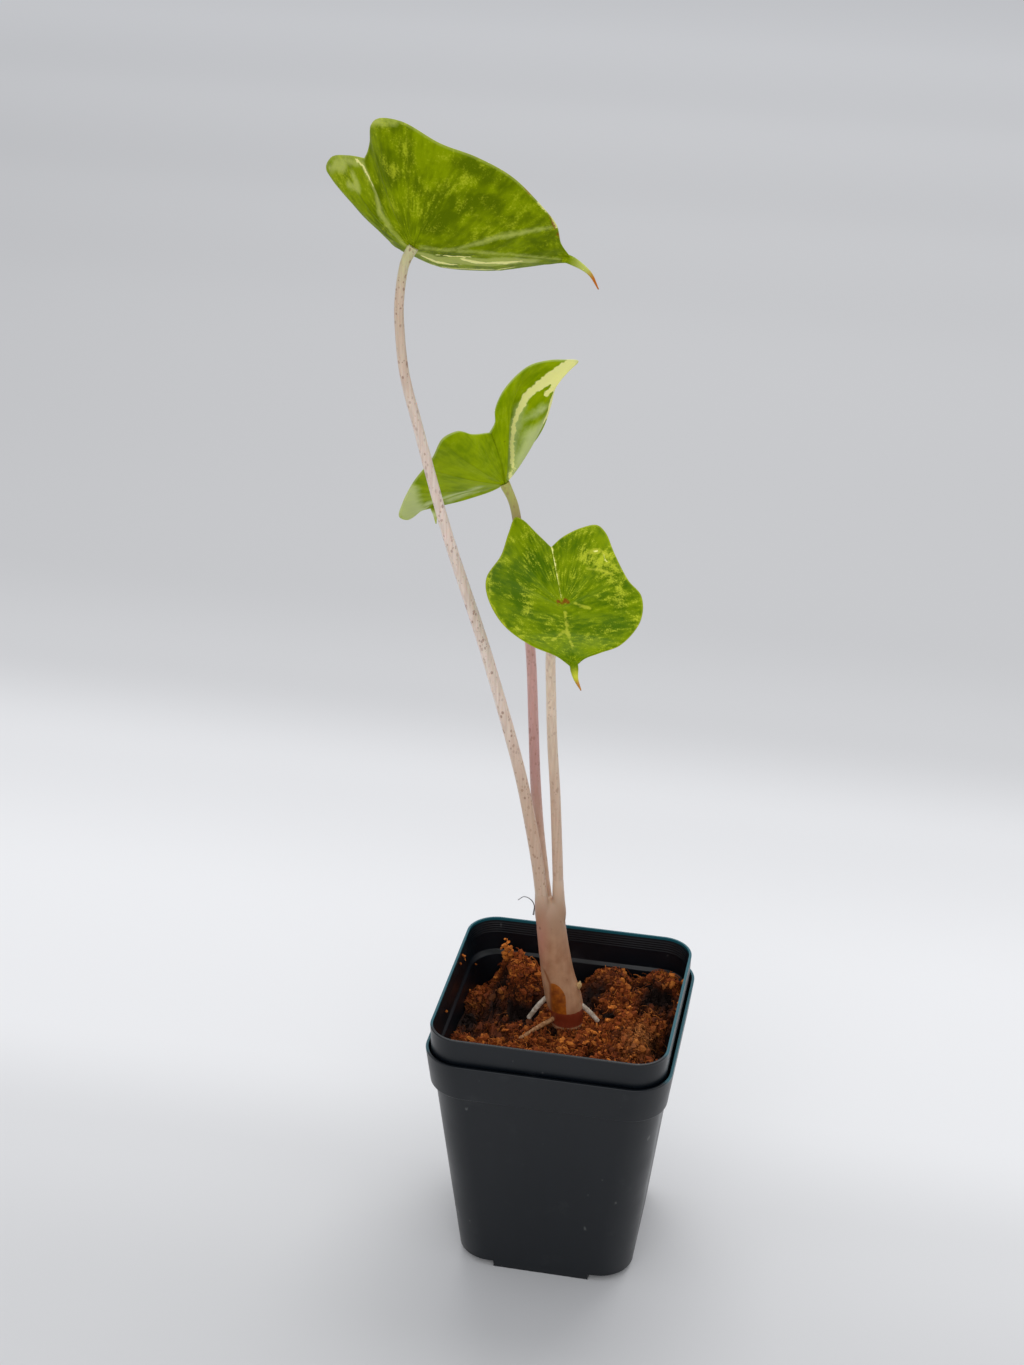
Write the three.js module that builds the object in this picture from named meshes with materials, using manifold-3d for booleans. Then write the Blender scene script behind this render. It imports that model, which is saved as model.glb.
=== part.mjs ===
// Potted stingray alocasia: a young plant with three leaves, rooted in coir, in two nested square nursery pots.
// Millimetres, +Z up, the pots' sides along X and Y, the origin at the centre of the outer pot's foot.
import * as THREE from "three";
import { mergeVertices } from "three/addons/utils/BufferGeometryUtils.js";
import Module from "manifold-3d";

const wasm = await Module();
wasm.setup();

// Clearance between pieces that touch
const SEAT_GAP = 0.3;

// Pots: one mould family, 7 cm class, tapered, with a rim band above a small outside ledge
const WALL = 0.6;
const BAND_WALL = 0.8;
const FLOOR = 0.9;
const BASE_SIDE = 52.9;
const LEDGE_SIDE = 67.3;
const BAND_HEIGHT = 11.9;
const OUTER_RIM_HEIGHT = 78.2;
const BODY_HEIGHT = OUTER_RIM_HEIGHT - BAND_HEIGHT;
const HALF_TAPER = (LEDGE_SIDE - BASE_SIDE) / 2 / BODY_HEIGHT;
const NEST_RAISE = (WALL + SEAT_GAP) / HALF_TAPER;
const INNER_RIM_HEIGHT = 86.2;
const FOOT_BEVEL = 0.8;
const LEDGE_BEVEL = 0.7;
const LIP_BEVEL = 0.4;
const CORNER_GROWTH = 0.3;
const NOTCH_HEIGHT = 2.3;
const NOTCH_RADIUS = 12;
const DRAIN_RADIUS = 2.5;
const DRAIN_OFFSET = 20.7;

const OUTER_POT = {
  foot: 0,
  rimHeight: OUTER_RIM_HEIGHT,
  ledgeSide: LEDGE_SIDE,
  bandSide: 70.1,
  rimSide: 72.7,
  baseCorner: 10.4,
  rimCorner: 11.5,
};
const INNER_POT = {
  foot: NEST_RAISE,
  rimHeight: INNER_RIM_HEIGHT,
  ledgeSide: LEDGE_SIDE - 0.1,
  bandSide: 69.2,
  rimSide: 70,
  baseCorner: 10.4,
  rimCorner: 9.5,
};

// Coir: a level near the stem, a rise to the front wall, clumps and hollows as [x, y, spread, height]
const COIR_LEVEL = 70;
const FRONT_RISE = 3.5;
const COIR_CLUMPS = [
  [-18, 24, 6.5, 10],
  [-22, 27, 2.4, 4],
  [10, 23, 6, 9],
  [26, 25, 5, 8],
  [23, 6, 6, 4],
  [-9, -3, 5, 1.5],
];
const COIR_HOLLOWS = [
  [-15, 12, 4, 5],
  [-29, 26, 5, 7],
  [30, -1, 2.5, 5],
  [-4, 28, 6, 4],
];
const COIR_GRID = 20;
const CRUMB_COUNT = 50;
const CRUMB_RADIUS = [0.8, 1.9];

// Stem base: the sheathed foot of the leaf stalks, as [x, y, z, radius]
const STEM_TOP = 112;
const STEM_FOOT = 55;
const STEM_SECTIONS = [
  [0.5, 5, STEM_FOOT, 3.2],
  [0.5, 5, 62, 3.9],
  [0.5, 5, 69, 4.4],
  [0.4, 5, 71, 4.9],
  [0.4, 5, 73.5, 4.9],
  [0, 5, 75.5, 5.3],
  [-0.9, 5, 79.5, 5.6],
  [-1.8, 5, 83, 5.4],
  [-3, 5, 88, 5],
  [-4.5, 5, 97, 4.6],
  [-5.4, 5, 103.5, 4.4],
  [-6, 5.2, STEM_TOP, 4.5],
];

// Leaf stalks: the centre line from the stem to the blade, and the radius at its two ends
const TALL_STALK = {
  line: [
    [-7.8, 3.4, 108],
    [-8.3, 3.2, 114],
    [-9.6, 2.5, 125],
    [-12.4, 1.5, 141.5],
    [-15.5, 0, 157.5],
    [-25.5, -3, 195.5],
    [-36, -7.5, 232],
    [-43.6, -11, 263.5],
    [-46.6, -12.5, 277],
    [-47.6, -13.5, 288],
    [-47.7, -14, 297],
    [-46.1, -14, 307.5],
    [-44, -14, 311.5],
  ],
  foot: 1.85,
  top: 1.2,
};
const MIDDLE_STALK = {
  line: [
    [-7.6, 7.4, 108],
    [-7.8, 7.3, 112],
    [-9, 8, 121],
    [-10.8, 9, 133.5],
    [-12.5, 10.5, 149],
    [-14, 12.5, 167.5],
    [-15.6, 15, 185.5],
    [-18, 17.5, 202.5],
    [-20.6, 19.5, 218.5],
    [-22, 20, 227.5],
    [-23.1, 20, 231.5],
    [-25.5, 20, 236.5],
  ],
  foot: 1.7,
  top: 1.25,
};
const SHORT_STALK = {
  line: [
    [-3.3, 5.2, 108],
    [-3.5, 5.2, 112],
    [-4.6, 4.5, 133.5],
    [-5.5, 3.5, 150.5],
    [-6.6, 2.2, 167],
    [-7, -0.5, 184],
    [-7, -3, 196],
    [-6, -6, 203.5],
    [-3, -10, 214],
  ],
  foot: 1.6,
  top: 1.35,
};

// Leaf blades. A blade is peltate: the stalk meets its underside at the seat, not at its edge.
// Every other point is measured from the seat: the sinus between the two back lobes, the midrib to the
// root of the tail, the tail to its tip, and each side's edge from the sinus by lobe, flank, wing and shoulder.
// A bow moves the ribs of one side off their straight lines, most in the middle of the rib at one place of the edge.
const BLADE_THICKNESS = 0.7;
const RIB_KEEL = 0.55;
const RIB_TAPER = 0.7;
const BLADE_ROWS = 36;
const BLADE_CELLS = 4;
const MIDRIB_START = 0.5;
const TAIL_RADIUS = [0.85, 0.35];
const TAIL_ROOT = 0.15;

const TALL_BLADE = {
  seat: [-44, -14, 311.5],
  up: [0.18, 0.75, 0.63],
  bowl: 1.5,
  sinus: [-13.5, 4.5, 20.5],
  midrib: [
    [13.5, 4.5, -1.5],
    [26.5, 10.5, -3],
    [37, 17, -5],
  ],
  tail: [
    [42.5, 18, -8.5],
    [45, 19, -13],
  ],
  far: [
    [-20, 10.5, 19.5],
    [-25.5, 15.5, 17.5],
    [-27.5, 18, 13.5],
    [-23, 20, 7.5],
    [-16, 21.5, -0.5],
    [-8, 25, -8],
    [0, 28, -12.5],
    [13, 28.5, -13],
    [25.5, 25, -10],
    [32.5, 21.5, -7.5],
    [37.5, 18, -6],
  ],
  near: [
    [-12, 2.5, 25],
    [-10.5, -2, 30.5],
    [-7.5, -5, 33],
    [-2, -5, 32.5],
    [8, -6, 28],
    [17, -5, 25],
    [25.5, -3.5, 20.5],
    [32, 1, 13],
    [35.5, 6.5, 6.5],
    [36, 11.5, 0.5],
    [37.5, 16.5, -4],
  ],
};
const MIDDLE_BLADE = {
  seat: [-25.5, 20, 236.5],
  up: [-0.63, 0.46, 0.63],
  bowl: 1.5,
  bow: { at: 0.28, spread: 0.1, by: [-8, 0.5, 4] },
  sinus: [-3, -8, 17.5],
  midrib: [
    [-9.5, 6, -5],
    [-20, 13, -10],
    [-24, 17.5, -16],
  ],
  tail: [
    [-24, 19, -19],
    [-24, 20.5, -22.5],
  ],
  far: [
    [-1.6, -8, 20.5],
    [-1.5, -8.5, 24.5],
    [1, -8, 30.5],
    [6.5, -4.5, 36],
    [11.5, -1.5, 37.2],
    [15.5, 0.2, 37.2],
    [19.3, 2, 36.6],
    [16.8, 2.1, 33.5],
    [13.5, 2, 29],
    [11, 8, 21],
    [7, 16.5, 10],
    [0, 21, -1],
    [-4.5, 22, -9],
    [-14.5, 22.5, -14.5],
    [-23, 17.5, -16],
  ],
  near: [
    [-5.5, -20, 21],
    [-8, -27, 24],
    [-11, -30, 23],
    [-15.5, -24, 14.5],
    [-22.5, -15.5, 4],
    [-27, -9.5, -5],
    [-29, -5, -11],
    [-27.5, -0.5, -13.5],
    [-26, 7.5, -14],
    [-25, 16, -16],
  ],
};
const SHORT_BLADE = {
  seat: [-3, -10, 214],
  up: [0.35, -0.45, 0.82],
  bowl: 1.3,
  sinus: [-6, 13.5, 11.5],
  midrib: [
    [2, -6.5, -4.5],
    [4.5, -13, -7],
    [6, -15.5, -9.5],
  ],
  tail: [
    [7, -18, -12],
    [9, -21, -14],
  ],
  far: [
    [-10.5, 14.5, 15],
    [-14.5, 15.5, 18],
    [-16.5, 15.5, 18.5],
    [-17.5, 11, 15.5],
    [-18, 4, 12],
    [-20, -6.5, 9],
    [-18, -12.5, 5.5],
    [-13, -16.5, 0.5],
    [-5.5, -17.5, -4],
    [1.5, -16.5, -7],
    [5, -16.5, -10.5],
  ],
  near: [
    [-3.5, 16.5, 13.5],
    [1, 21, 15],
    [5, 24, 15],
    [7.5, 23, 13.5],
    [11, 18, 9.5],
    [16, 12, 4.5],
    [20, 9.5, 1.5],
    [21, 3.5, -3],
    [17, -5, -7],
    [12, -9.5, -8],
    [8.5, -13, -8.5],
    [7, -15.5, -10.5],
  ],
};

// Aerial roots: from the stem's foot to the coir, with the radius at each end
const ROOTS = {
  root_back_left: { line: [[-5, 4, 80], [-7.6, 3.4, 77.2], [-10.9, 2, 72.2]], foot: 0.8, top: 0.7 },
  root_front_left: { line: [[-2.6, 2.6, 73.4], [-7, -2.6, 72.6], [-12, -8, 71]], foot: 0.7, top: 0.6 },
  root_right: { line: [[3.6, 5, 78], [7, 5.4, 75], [9.8, 5.6, 71.8]], foot: 0.8, top: 0.7 },
};

// Small trim on the stem
const BUD_SCALE = { centre: [4.4, 4.2, 84.2], half: [1, 0.9, 1.5] };
const DRY_FIBRE = {
  line: [[-10.7, 4, 107.5], [-10.6, 4, 110.8], [-11.7, 3.2, 113.2], [-13.5, 3, 113.9], [-15.3, 3, 112.5]],
  radius: 0.3,
};

// Colours: [red, green, blue], roughness
const FINISHES = {
  potPlastic: [[0.022, 0.024, 0.028], 0.42],
  coir: [[0.22, 0.065, 0.018], 0.95],
  stem: [[0.42, 0.2, 0.12], 0.5],
  paleStalk: [[0.62, 0.48, 0.38], 0.45],
  pinkStalk: [[0.5, 0.26, 0.24], 0.45],
  leaf: [[0.16, 0.32, 0.02], 0.4],
  root: [[0.5, 0.44, 0.36], 0.7],
  fibre: [[0.36, 0.36, 0.38], 0.8],
};

const vector = (point) => new THREE.Vector3(...point);
const { lerp } = THREE.MathUtils;

// A smooth curve through points, which it can divide evenly by length
function smoothCurve(points) {
  const curve = new THREE.CatmullRomCurve3(points.map(vector), false, "centripetal");
  curve.arcLengthDivisions = 600;
  return curve;
}

// A repeatable random draw between 0 and 1
function seededDraw(seed) {
  let state = seed;
  return () => {
    state = (state * 1664525 + 1013904223) % 4294967296;
    return state / 4294967296;
  };
}

// A closed mesh as a solid, and a solid as a geometry
function solidOf(geometry) {
  const plain = new THREE.BufferGeometry();
  plain.setAttribute("position", geometry.getAttribute("position"));
  if (geometry.index) plain.setIndex(geometry.index);
  const merged = mergeVertices(plain, 1e-4);
  return new wasm.Manifold(
    new wasm.Mesh({
      numProp: 3,
      vertProperties: new Float32Array(merged.attributes.position.array),
      triVerts: new Uint32Array(merged.index.array),
    }),
  );
}

function geometryOf(solid) {
  const mesh = solid.getMesh();
  const geometry = new THREE.BufferGeometry();
  geometry.setAttribute("position", new THREE.BufferAttribute(mesh.vertProperties, mesh.numProp));
  geometry.setIndex(new THREE.BufferAttribute(mesh.triVerts, 1));
  return geometry;
}

const largestBody = (solid) =>
  solid.decompose().reduce((best, body) => (body.volume() > best.volume() ? body : best));

// A closed surface through rings of equal count, with a fan over the first and the last one
function closedLoft(rings) {
  const count = rings[0].length;
  const points = rings.flat();
  const centreOf = (ring) => ring.reduce((sum, p) => sum.add(p), new THREE.Vector3()).divideScalar(count);
  const first = points.push(centreOf(rings[0])) - 1;
  const last = points.push(centreOf(rings.at(-1))) - 1;
  const triangles = [];
  for (let r = 0; r < rings.length; r++) {
    for (let i = 0; i < count; i++) {
      const here = r * count + i;
      const next = r * count + ((i + 1) % count);
      if (r === 0) triangles.push(first, next, here);
      if (r === rings.length - 1) triangles.push(last, here, next);
      else triangles.push(here, next, next + count, here, next + count, here + count);
    }
  }
  return new THREE.BufferGeometry().setFromPoints(points).setIndex(triangles);
}

// A square with round corners, counterclockwise seen from above
function squareRing(side, corner, z, stepsPerCorner = 5) {
  const reach = side / 2 - corner;
  const ring = [];
  for (let quarter = 0; quarter < 4; quarter++) {
    const middle = ((quarter + 0.5) * Math.PI) / 2;
    const cx = Math.sign(Math.cos(middle)) * reach;
    const cy = Math.sign(Math.sin(middle)) * reach;
    for (let step = 0; step <= stepsPerCorner; step++) {
      const angle = ((quarter + step / stepsPerCorner) * Math.PI) / 2;
      ring.push(new THREE.Vector3(cx + corner * Math.cos(angle), cy + corner * Math.sin(angle), z));
    }
  }
  return ring;
}

// Upright cylinders at the four corners of a square, joined in one solid
function cornerPosts(offset, radius, low, high) {
  const posts = [];
  for (const sx of [-1, 1]) {
    for (const sy of [-1, 1]) {
      const post = new THREE.CylinderGeometry(radius, radius, high - low, 20);
      post.rotateX(Math.PI / 2).translate(sx * offset, sy * offset, (low + high) / 2);
      posts.push(solidOf(post));
    }
  }
  return wasm.Manifold.union(posts);
}

// Pots

function pot({ foot, rimHeight, ledgeSide, bandSide, rimSide, baseCorner, rimCorner }) {
  const ledge = rimHeight - BAND_HEIGHT;
  const bodyCorner = baseCorner + CORNER_GROWTH;
  const outside = [
    squareRing(BASE_SIDE - 2 * FOOT_BEVEL, baseCorner - FOOT_BEVEL, foot),
    squareRing(BASE_SIDE, baseCorner, foot + FOOT_BEVEL),
    squareRing(ledgeSide, bodyCorner, ledge - LEDGE_BEVEL),
    squareRing(bandSide, rimCorner, ledge),
    squareRing(rimSide, rimCorner, rimHeight - LIP_BEVEL),
    squareRing(rimSide - LIP_BEVEL, rimCorner - LIP_BEVEL / 2, rimHeight),
  ];
  const inside = [
    squareRing(BASE_SIDE - 2 * WALL, baseCorner - WALL, foot + FLOOR),
    squareRing(ledgeSide - 2 * WALL, bodyCorner - WALL, ledge),
    squareRing(bandSide - 2 * BAND_WALL, rimCorner - BAND_WALL, ledge + LEDGE_BEVEL),
    squareRing(rimSide - 2 * BAND_WALL, rimCorner - BAND_WALL, rimHeight + LIP_BEVEL),
  ];
  const corner = BASE_SIDE / 2;
  const raised = foot + NOTCH_HEIGHT;
  const below = foot - 1;
  const body = solidOf(closedLoft(outside)).subtract(cornerPosts(corner, NOTCH_RADIUS, below, raised));
  const cavity = solidOf(closedLoft(inside)).subtract(
    cornerPosts(corner, NOTCH_RADIUS + WALL, below, raised + FLOOR),
  );
  const drains = cornerPosts(DRAIN_OFFSET, DRAIN_RADIUS, below, raised + 2 * FLOOR);
  return body.subtract(cavity).subtract(drains);
}

// Tapered round stalks

function stalk(line, footRadius, topRadius, steps, sides = 10) {
  const curve = smoothCurve(line);
  const frames = curve.computeFrenetFrames(steps, false);
  const rings = [];
  for (let step = 0; step <= steps; step++) {
    const centre = curve.getPointAt(step / steps);
    const radius = lerp(footRadius, topRadius, step / steps);
    const ring = [];
    for (let i = 0; i < sides; i++) {
      const angle = (2 * Math.PI * i) / sides;
      ring.push(
        centre
          .clone()
          .addScaledVector(frames.normals[step], radius * Math.cos(angle))
          .addScaledVector(frames.binormals[step], radius * Math.sin(angle)),
      );
    }
    rings.push(ring);
  }
  return solidOf(closedLoft(rings));
}

function stemBase(grow = 0) {
  const sides = 20;
  const rings = STEM_SECTIONS.map(([x, y, z, radius], index) => {
    const shift = index === 0 ? -grow : 0;
    const ring = [];
    for (let i = 0; i < sides; i++) {
      const angle = (2 * Math.PI * i) / sides;
      const reach = radius + grow;
      ring.push(new THREE.Vector3(x + reach * Math.cos(angle), y + reach * Math.sin(angle), z + shift));
    }
    return ring;
  });
  return solidOf(closedLoft(rings));
}

// Leaf blades

// The rows of a blade: each leaves the seat or the midrib at its start, and meets the two edges at its ends
function bladeRows({ sinus, midrib, far, near }) {
  const ribCurve = smoothCurve([[0, 0, 0], ...midrib]);
  const edges = [far, near].map((side) => smoothCurve([sinus, ...side]).getSpacedPoints(BLADE_ROWS));
  const rows = [];
  for (let row = 0; row <= BLADE_ROWS; row++) {
    const share = Math.max(0, (row / BLADE_ROWS - MIDRIB_START) / (1 - MIDRIB_START));
    rows.push({ start: ribCurve.getPointAt(share), ends: edges.map((edge) => edge[row]) });
  }
  return rows;
}

// The middle surface of a blade as points and triangles, with how far each point stands on a rib, from 0 to 1.
// The two sides share the seat, the midrib and the line to the sinus.
function bladeSurface(leaf) {
  const rise = vector(leaf.up).normalize();
  const rows = bladeRows(leaf);
  const last = rows.length - 1;
  const points = [];
  const ribs = [];
  const known = new Map();
  const nameOf = (side, row, cell) => {
    if (row === 0 && cell > 0) return `sinus ${cell}`;
    if (cell > 0) return `${side} ${row} ${cell}`;
    return rows[row].start.length() > 0 ? `midrib ${row}` : "seat";
  };
  const pointIndex = (side, row, cell) => {
    const name = nameOf(side, row, cell);
    if (known.has(name)) return known.get(name);
    const { start, ends } = rows[row];
    const across = ends[side].clone().sub(start);
    const share = cell / BLADE_CELLS;
    const sag = across.dot(rise) * (share - share ** leaf.bowl);
    const point = start.clone().addScaledVector(across, share).addScaledVector(rise, -sag);
    if (leaf.bow && side === 0) {
      const nearness = Math.exp(-(((row / BLADE_ROWS - leaf.bow.at) / leaf.bow.spread) ** 2));
      point.addScaledVector(vector(leaf.bow.by), 4 * share * (1 - share) * nearness);
    }
    points.push(point);
    ribs.push(cell === 0 ? 1 - RIB_TAPER * (row / last) : 0);
    known.set(name, points.length - 1);
    return points.length - 1;
  };
  const triangles = [];
  const border = [];
  for (const side of [0, 1]) {
    const turn = (list) => (side === 0 ? list : list.reverse());
    for (let row = 0; row < last; row++) {
      for (let cell = 0; cell < BLADE_CELLS; cell++) {
        const here = pointIndex(side, row, cell);
        const along = pointIndex(side, row + 1, cell);
        const across = pointIndex(side, row + 1, cell + 1);
        const out = pointIndex(side, row, cell + 1);
        triangles.push(turn([here, along, across]), turn([here, across, out]));
      }
      border.push(turn([pointIndex(side, row, BLADE_CELLS), pointIndex(side, row + 1, BLADE_CELLS)]));
    }
    for (let cell = 0; cell < BLADE_CELLS; cell++) {
      border.push(turn([pointIndex(side, last, cell + 1), pointIndex(side, last, cell)]));
    }
  }
  const whole = triangles.filter((corners) => new Set(corners).size === 3);
  return { points, triangles: whole, border, ribs, rise };
}

// A leaf's solid blade: the middle surface thickened alike to both faces, a keel under its ribs, and its tail.
// grow widens it all round, to cut the seat of the stalk.
function blade(leaf, grow = 0) {
  const { points, triangles, border, ribs, rise } = bladeSurface(leaf);
  const normals = points.map(() => new THREE.Vector3());
  for (const [a, b, c] of triangles) {
    const normal = points[b].clone().sub(points[a]).cross(points[c].clone().sub(points[a]));
    for (const index of [a, b, c]) normals[index].add(normal);
  }
  const facing = normals[0].dot(rise) > 0 ? 1 : -1;
  normals.forEach((normal) => normal.normalize().multiplyScalar(facing));
  const half = BLADE_THICKNESS / 2 + grow;
  const above = points.map((p, i) => p.clone().addScaledVector(normals[i], half));
  const below = points.map((p, i) => p.clone().addScaledVector(normals[i], -half - RIB_KEEL * ribs[i]));
  const count = points.length;
  const index = [];
  for (const [a, b, c] of triangles) {
    index.push(a, b, c, count + a, count + c, count + b);
  }
  for (const [a, b] of border) {
    index.push(a, b, count + b, a, count + b, count + a);
  }
  if (facing < 0) index.reverse();
  const sheet = solidOf(new THREE.BufferGeometry().setFromPoints([...above, ...below]).setIndex(index));
  const root = vector(leaf.midrib.at(-1)).lerp(vector(leaf.midrib.at(-2)), TAIL_ROOT);
  const [rootRadius, tipRadius] = TAIL_RADIUS;
  const tail = stalk([root.toArray(), leaf.midrib.at(-1), ...leaf.tail], rootRadius + grow, tipRadius + grow, 7, 8);
  return largestBody(sheet.add(tail)).translate(leaf.seat);
}

// Coir

function coirHeight(x, y) {
  const mound = ([cx, cy, spread, height]) =>
    height * Math.exp(-((x - cx) ** 2 + (y - cy) ** 2) / (2 * spread ** 2));
  const rise = FRONT_RISE * THREE.MathUtils.smoothstep(-y, 6, 24);
  const ripple =
    0.45 * Math.sin(0.9 * x + 0.4 * y) * Math.cos(0.7 * y - 0.3 * x) + 0.35 * Math.sin(1.7 * x - 1.3 * y + 0.6);
  const clumps = COIR_CLUMPS.reduce((sum, clump) => sum + mound(clump), 0);
  const hollows = COIR_HOLLOWS.reduce((sum, hollow) => sum + mound(hollow), 0);
  return COIR_LEVEL + rise + ripple + clumps - hollows;
}

function coir(holes) {
  const floor = INNER_POT.foot + FLOOR + SEAT_GAP;
  const inner = 2 * (WALL + SEAT_GAP);
  const sideAt = (z) => BASE_SIDE + 2 * HALF_TAPER * (z - INNER_POT.foot) - inner;
  const cornerRadius = INNER_POT.baseCorner - WALL - SEAT_GAP;
  const top = INNER_RIM_HEIGHT - 1;
  const block = solidOf(
    closedLoft([floor, top].map((z) => squareRing(sideAt(z) - 0.2, cornerRadius, z))),
  ).subtract(
    cornerPosts(
      BASE_SIDE / 2,
      NOTCH_RADIUS + WALL + SEAT_GAP,
      floor - 1,
      INNER_POT.foot + NOTCH_HEIGHT + FLOOR + SEAT_GAP,
    ),
  );
  const width = sideAt(top) + 4;
  const ground = new THREE.BoxGeometry(width, width, 2 * COIR_LEVEL, COIR_GRID, COIR_GRID, 1);
  const places = ground.attributes.position;
  for (let i = 0; i < places.count; i++) {
    if (places.getZ(i) > 0) places.setZ(i, coirHeight(places.getX(i), places.getY(i)));
  }
  const draw = seededDraw(7);
  const crumbs = [];
  for (let i = 0; i < CRUMB_COUNT; i++) {
    const radius = lerp(...CRUMB_RADIUS, draw() ** 2);
    const reach = sideAt(COIR_LEVEL) / 2 - radius;
    const x = reach * (2 * draw() - 1);
    const y = reach * (2 * draw() - 1);
    const crumb = new THREE.IcosahedronGeometry(radius, 0);
    crumb.rotateX(draw() * Math.PI).rotateZ(draw() * Math.PI);
    crumb.translate(x, y, coirHeight(x, y) + 0.15 * radius);
    crumbs.push(solidOf(crumb));
  }
  const bed = wasm.Manifold.union([solidOf(ground), ...crumbs]).intersect(block);
  return largestBody(holes.reduce((rest, hole) => rest.subtract(hole), bed));
}

function budScale(grow) {
  const bud = new THREE.SphereGeometry(1, 10, 8);
  const [hx, hy, hz] = BUD_SCALE.half;
  bud.scale(hx + grow, hy + grow, hz + grow).translate(...BUD_SCALE.centre);
  return solidOf(bud);
}

// Assembly

const plant = new THREE.Group();

function place(name, solid, [colour, roughness]) {
  const material = new THREE.MeshStandardMaterial({ color: new THREE.Color(...colour), roughness, metalness: 0 });
  const mesh = new THREE.Mesh(geometryOf(solid), material);
  mesh.name = name;
  plant.add(mesh);
}

const rootSolid = ({ line, foot, top }, grow = 0) => stalk(line, foot + grow, top + grow, 6, 8);
const stemRoom = stemBase(SEAT_GAP);
const rootRooms = Object.values(ROOTS).map((root) => rootSolid(root, SEAT_GAP));

place("outer_pot", pot(OUTER_POT), FINISHES.potPlastic);
place("inner_pot", pot(INNER_POT), FINISHES.potPlastic);
place("coir_soil", coir([stemRoom, ...rootRooms]), FINISHES.coir);
place("stem_base", stemBase(), FINISHES.stem);

for (const [name, root] of Object.entries(ROOTS)) {
  place(name, largestBody(rootSolid(root).subtract(stemRoom)), FINISHES.root);
}
place("bud_scale", largestBody(budScale(0).subtract(stemRoom)), FINISHES.root);
place(
  "dry_fibre",
  largestBody(stalk(DRY_FIBRE.line, DRY_FIBRE.radius, DRY_FIBRE.radius, 12, 6).subtract(stemRoom)),
  FINISHES.fibre,
);

// A box that holds all of a stalk below the stem's flat top
const belowStemTop = solidOf(
  new THREE.BoxGeometry(60, 60, 40).translate(0, 0, STEM_TOP + SEAT_GAP - 20),
);
const leaves = [
  ["tall", TALL_STALK, TALL_BLADE, FINISHES.paleStalk],
  ["middle", MIDDLE_STALK, MIDDLE_BLADE, FINISHES.pinkStalk],
  ["short", SHORT_STALK, SHORT_BLADE, FINISHES.paleStalk],
];
for (const [name, { line, foot, top }, leaf, finish] of leaves) {
  const whole = stalk(line, foot, top, 26);
  place(`petiole_${name}`, largestBody(whole.subtract(belowStemTop).subtract(blade(leaf, SEAT_GAP))), finish);
  place(`blade_${name}`, blade(leaf), FINISHES.leaf);
}

export default plant;
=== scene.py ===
# %% [markdown]
# # A potted stingray alocasia
# A young plant with three leaves stands in coir, in two nested square nursery pots. The frame loaded here
# holds the plain solids of the part. Every step below replaces some of them with finer pieces in the same
# place. Sizes are in millimetres, as in the part, and turn into metres where a mesh is made.

# %% Load the frame
import math

import bmesh
import bpy
import numpy as np
from mathutils import Euler, Matrix, Vector, noise


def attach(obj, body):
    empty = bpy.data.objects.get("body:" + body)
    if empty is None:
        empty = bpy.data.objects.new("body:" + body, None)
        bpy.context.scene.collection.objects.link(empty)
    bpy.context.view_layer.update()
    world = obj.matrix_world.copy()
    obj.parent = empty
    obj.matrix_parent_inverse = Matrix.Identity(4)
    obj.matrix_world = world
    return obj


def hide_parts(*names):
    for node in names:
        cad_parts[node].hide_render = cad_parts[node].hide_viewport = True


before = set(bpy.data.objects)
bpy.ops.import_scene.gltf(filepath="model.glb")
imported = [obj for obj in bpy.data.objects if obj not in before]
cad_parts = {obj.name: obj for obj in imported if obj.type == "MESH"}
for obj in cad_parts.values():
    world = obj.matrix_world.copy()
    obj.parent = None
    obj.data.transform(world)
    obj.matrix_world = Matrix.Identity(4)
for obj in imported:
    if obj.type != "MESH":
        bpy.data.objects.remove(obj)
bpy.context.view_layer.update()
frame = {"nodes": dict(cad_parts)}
MM = 0.001
print("solids:", ", ".join(frame["nodes"]))

# %% [markdown]
# ## The camera
# The photograph was taken from a little above the leaves, close to the plant and slightly turned.
# The camera stands where the corners of both pots fall on the corners in the picture.

# %% Camera
CAMERA_PLACE = (0.08815, -0.58212, 0.47129)
CAMERA_YAW = -0.1808
CAMERA_PITCH = 0.4507
CAMERA_ROLL = 0.026
CAMERA_LENS = 61.74
SENSOR_WIDTH = 36
NEAREST = 0.01

level = math.cos(CAMERA_PITCH)
forward = Vector((math.sin(CAMERA_YAW) * level, math.cos(CAMERA_YAW) * level, -math.sin(CAMERA_PITCH)))
level_right = Vector((math.cos(CAMERA_YAW), -math.sin(CAMERA_YAW), 0))
level_up = level_right.cross(forward)
right = level_right * math.cos(CAMERA_ROLL) + level_up * math.sin(CAMERA_ROLL)
up = level_up * math.cos(CAMERA_ROLL) - level_right * math.sin(CAMERA_ROLL)

camera = bpy.data.objects.new("camera", bpy.data.cameras.new("camera"))
camera.location = CAMERA_PLACE
camera.rotation_euler = Matrix((right, up, -forward)).transposed().to_euler()
camera.data.lens = CAMERA_LENS
camera.data.sensor_width = SENSOR_WIDTH
camera.data.clip_start = NEAREST
bpy.context.scene.collection.objects.link(camera)
bpy.context.scene.camera = camera
print("camera at", [round(value, 3) for value in camera.location])

# %% [markdown]
# ## Helpers for meshes
# A plant is mostly curves, so a few small helpers carry the whole script: a smooth curve through points, a
# loft through rings, and a mesh made from arrays with extra numbers on each point that a material can read.


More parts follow.
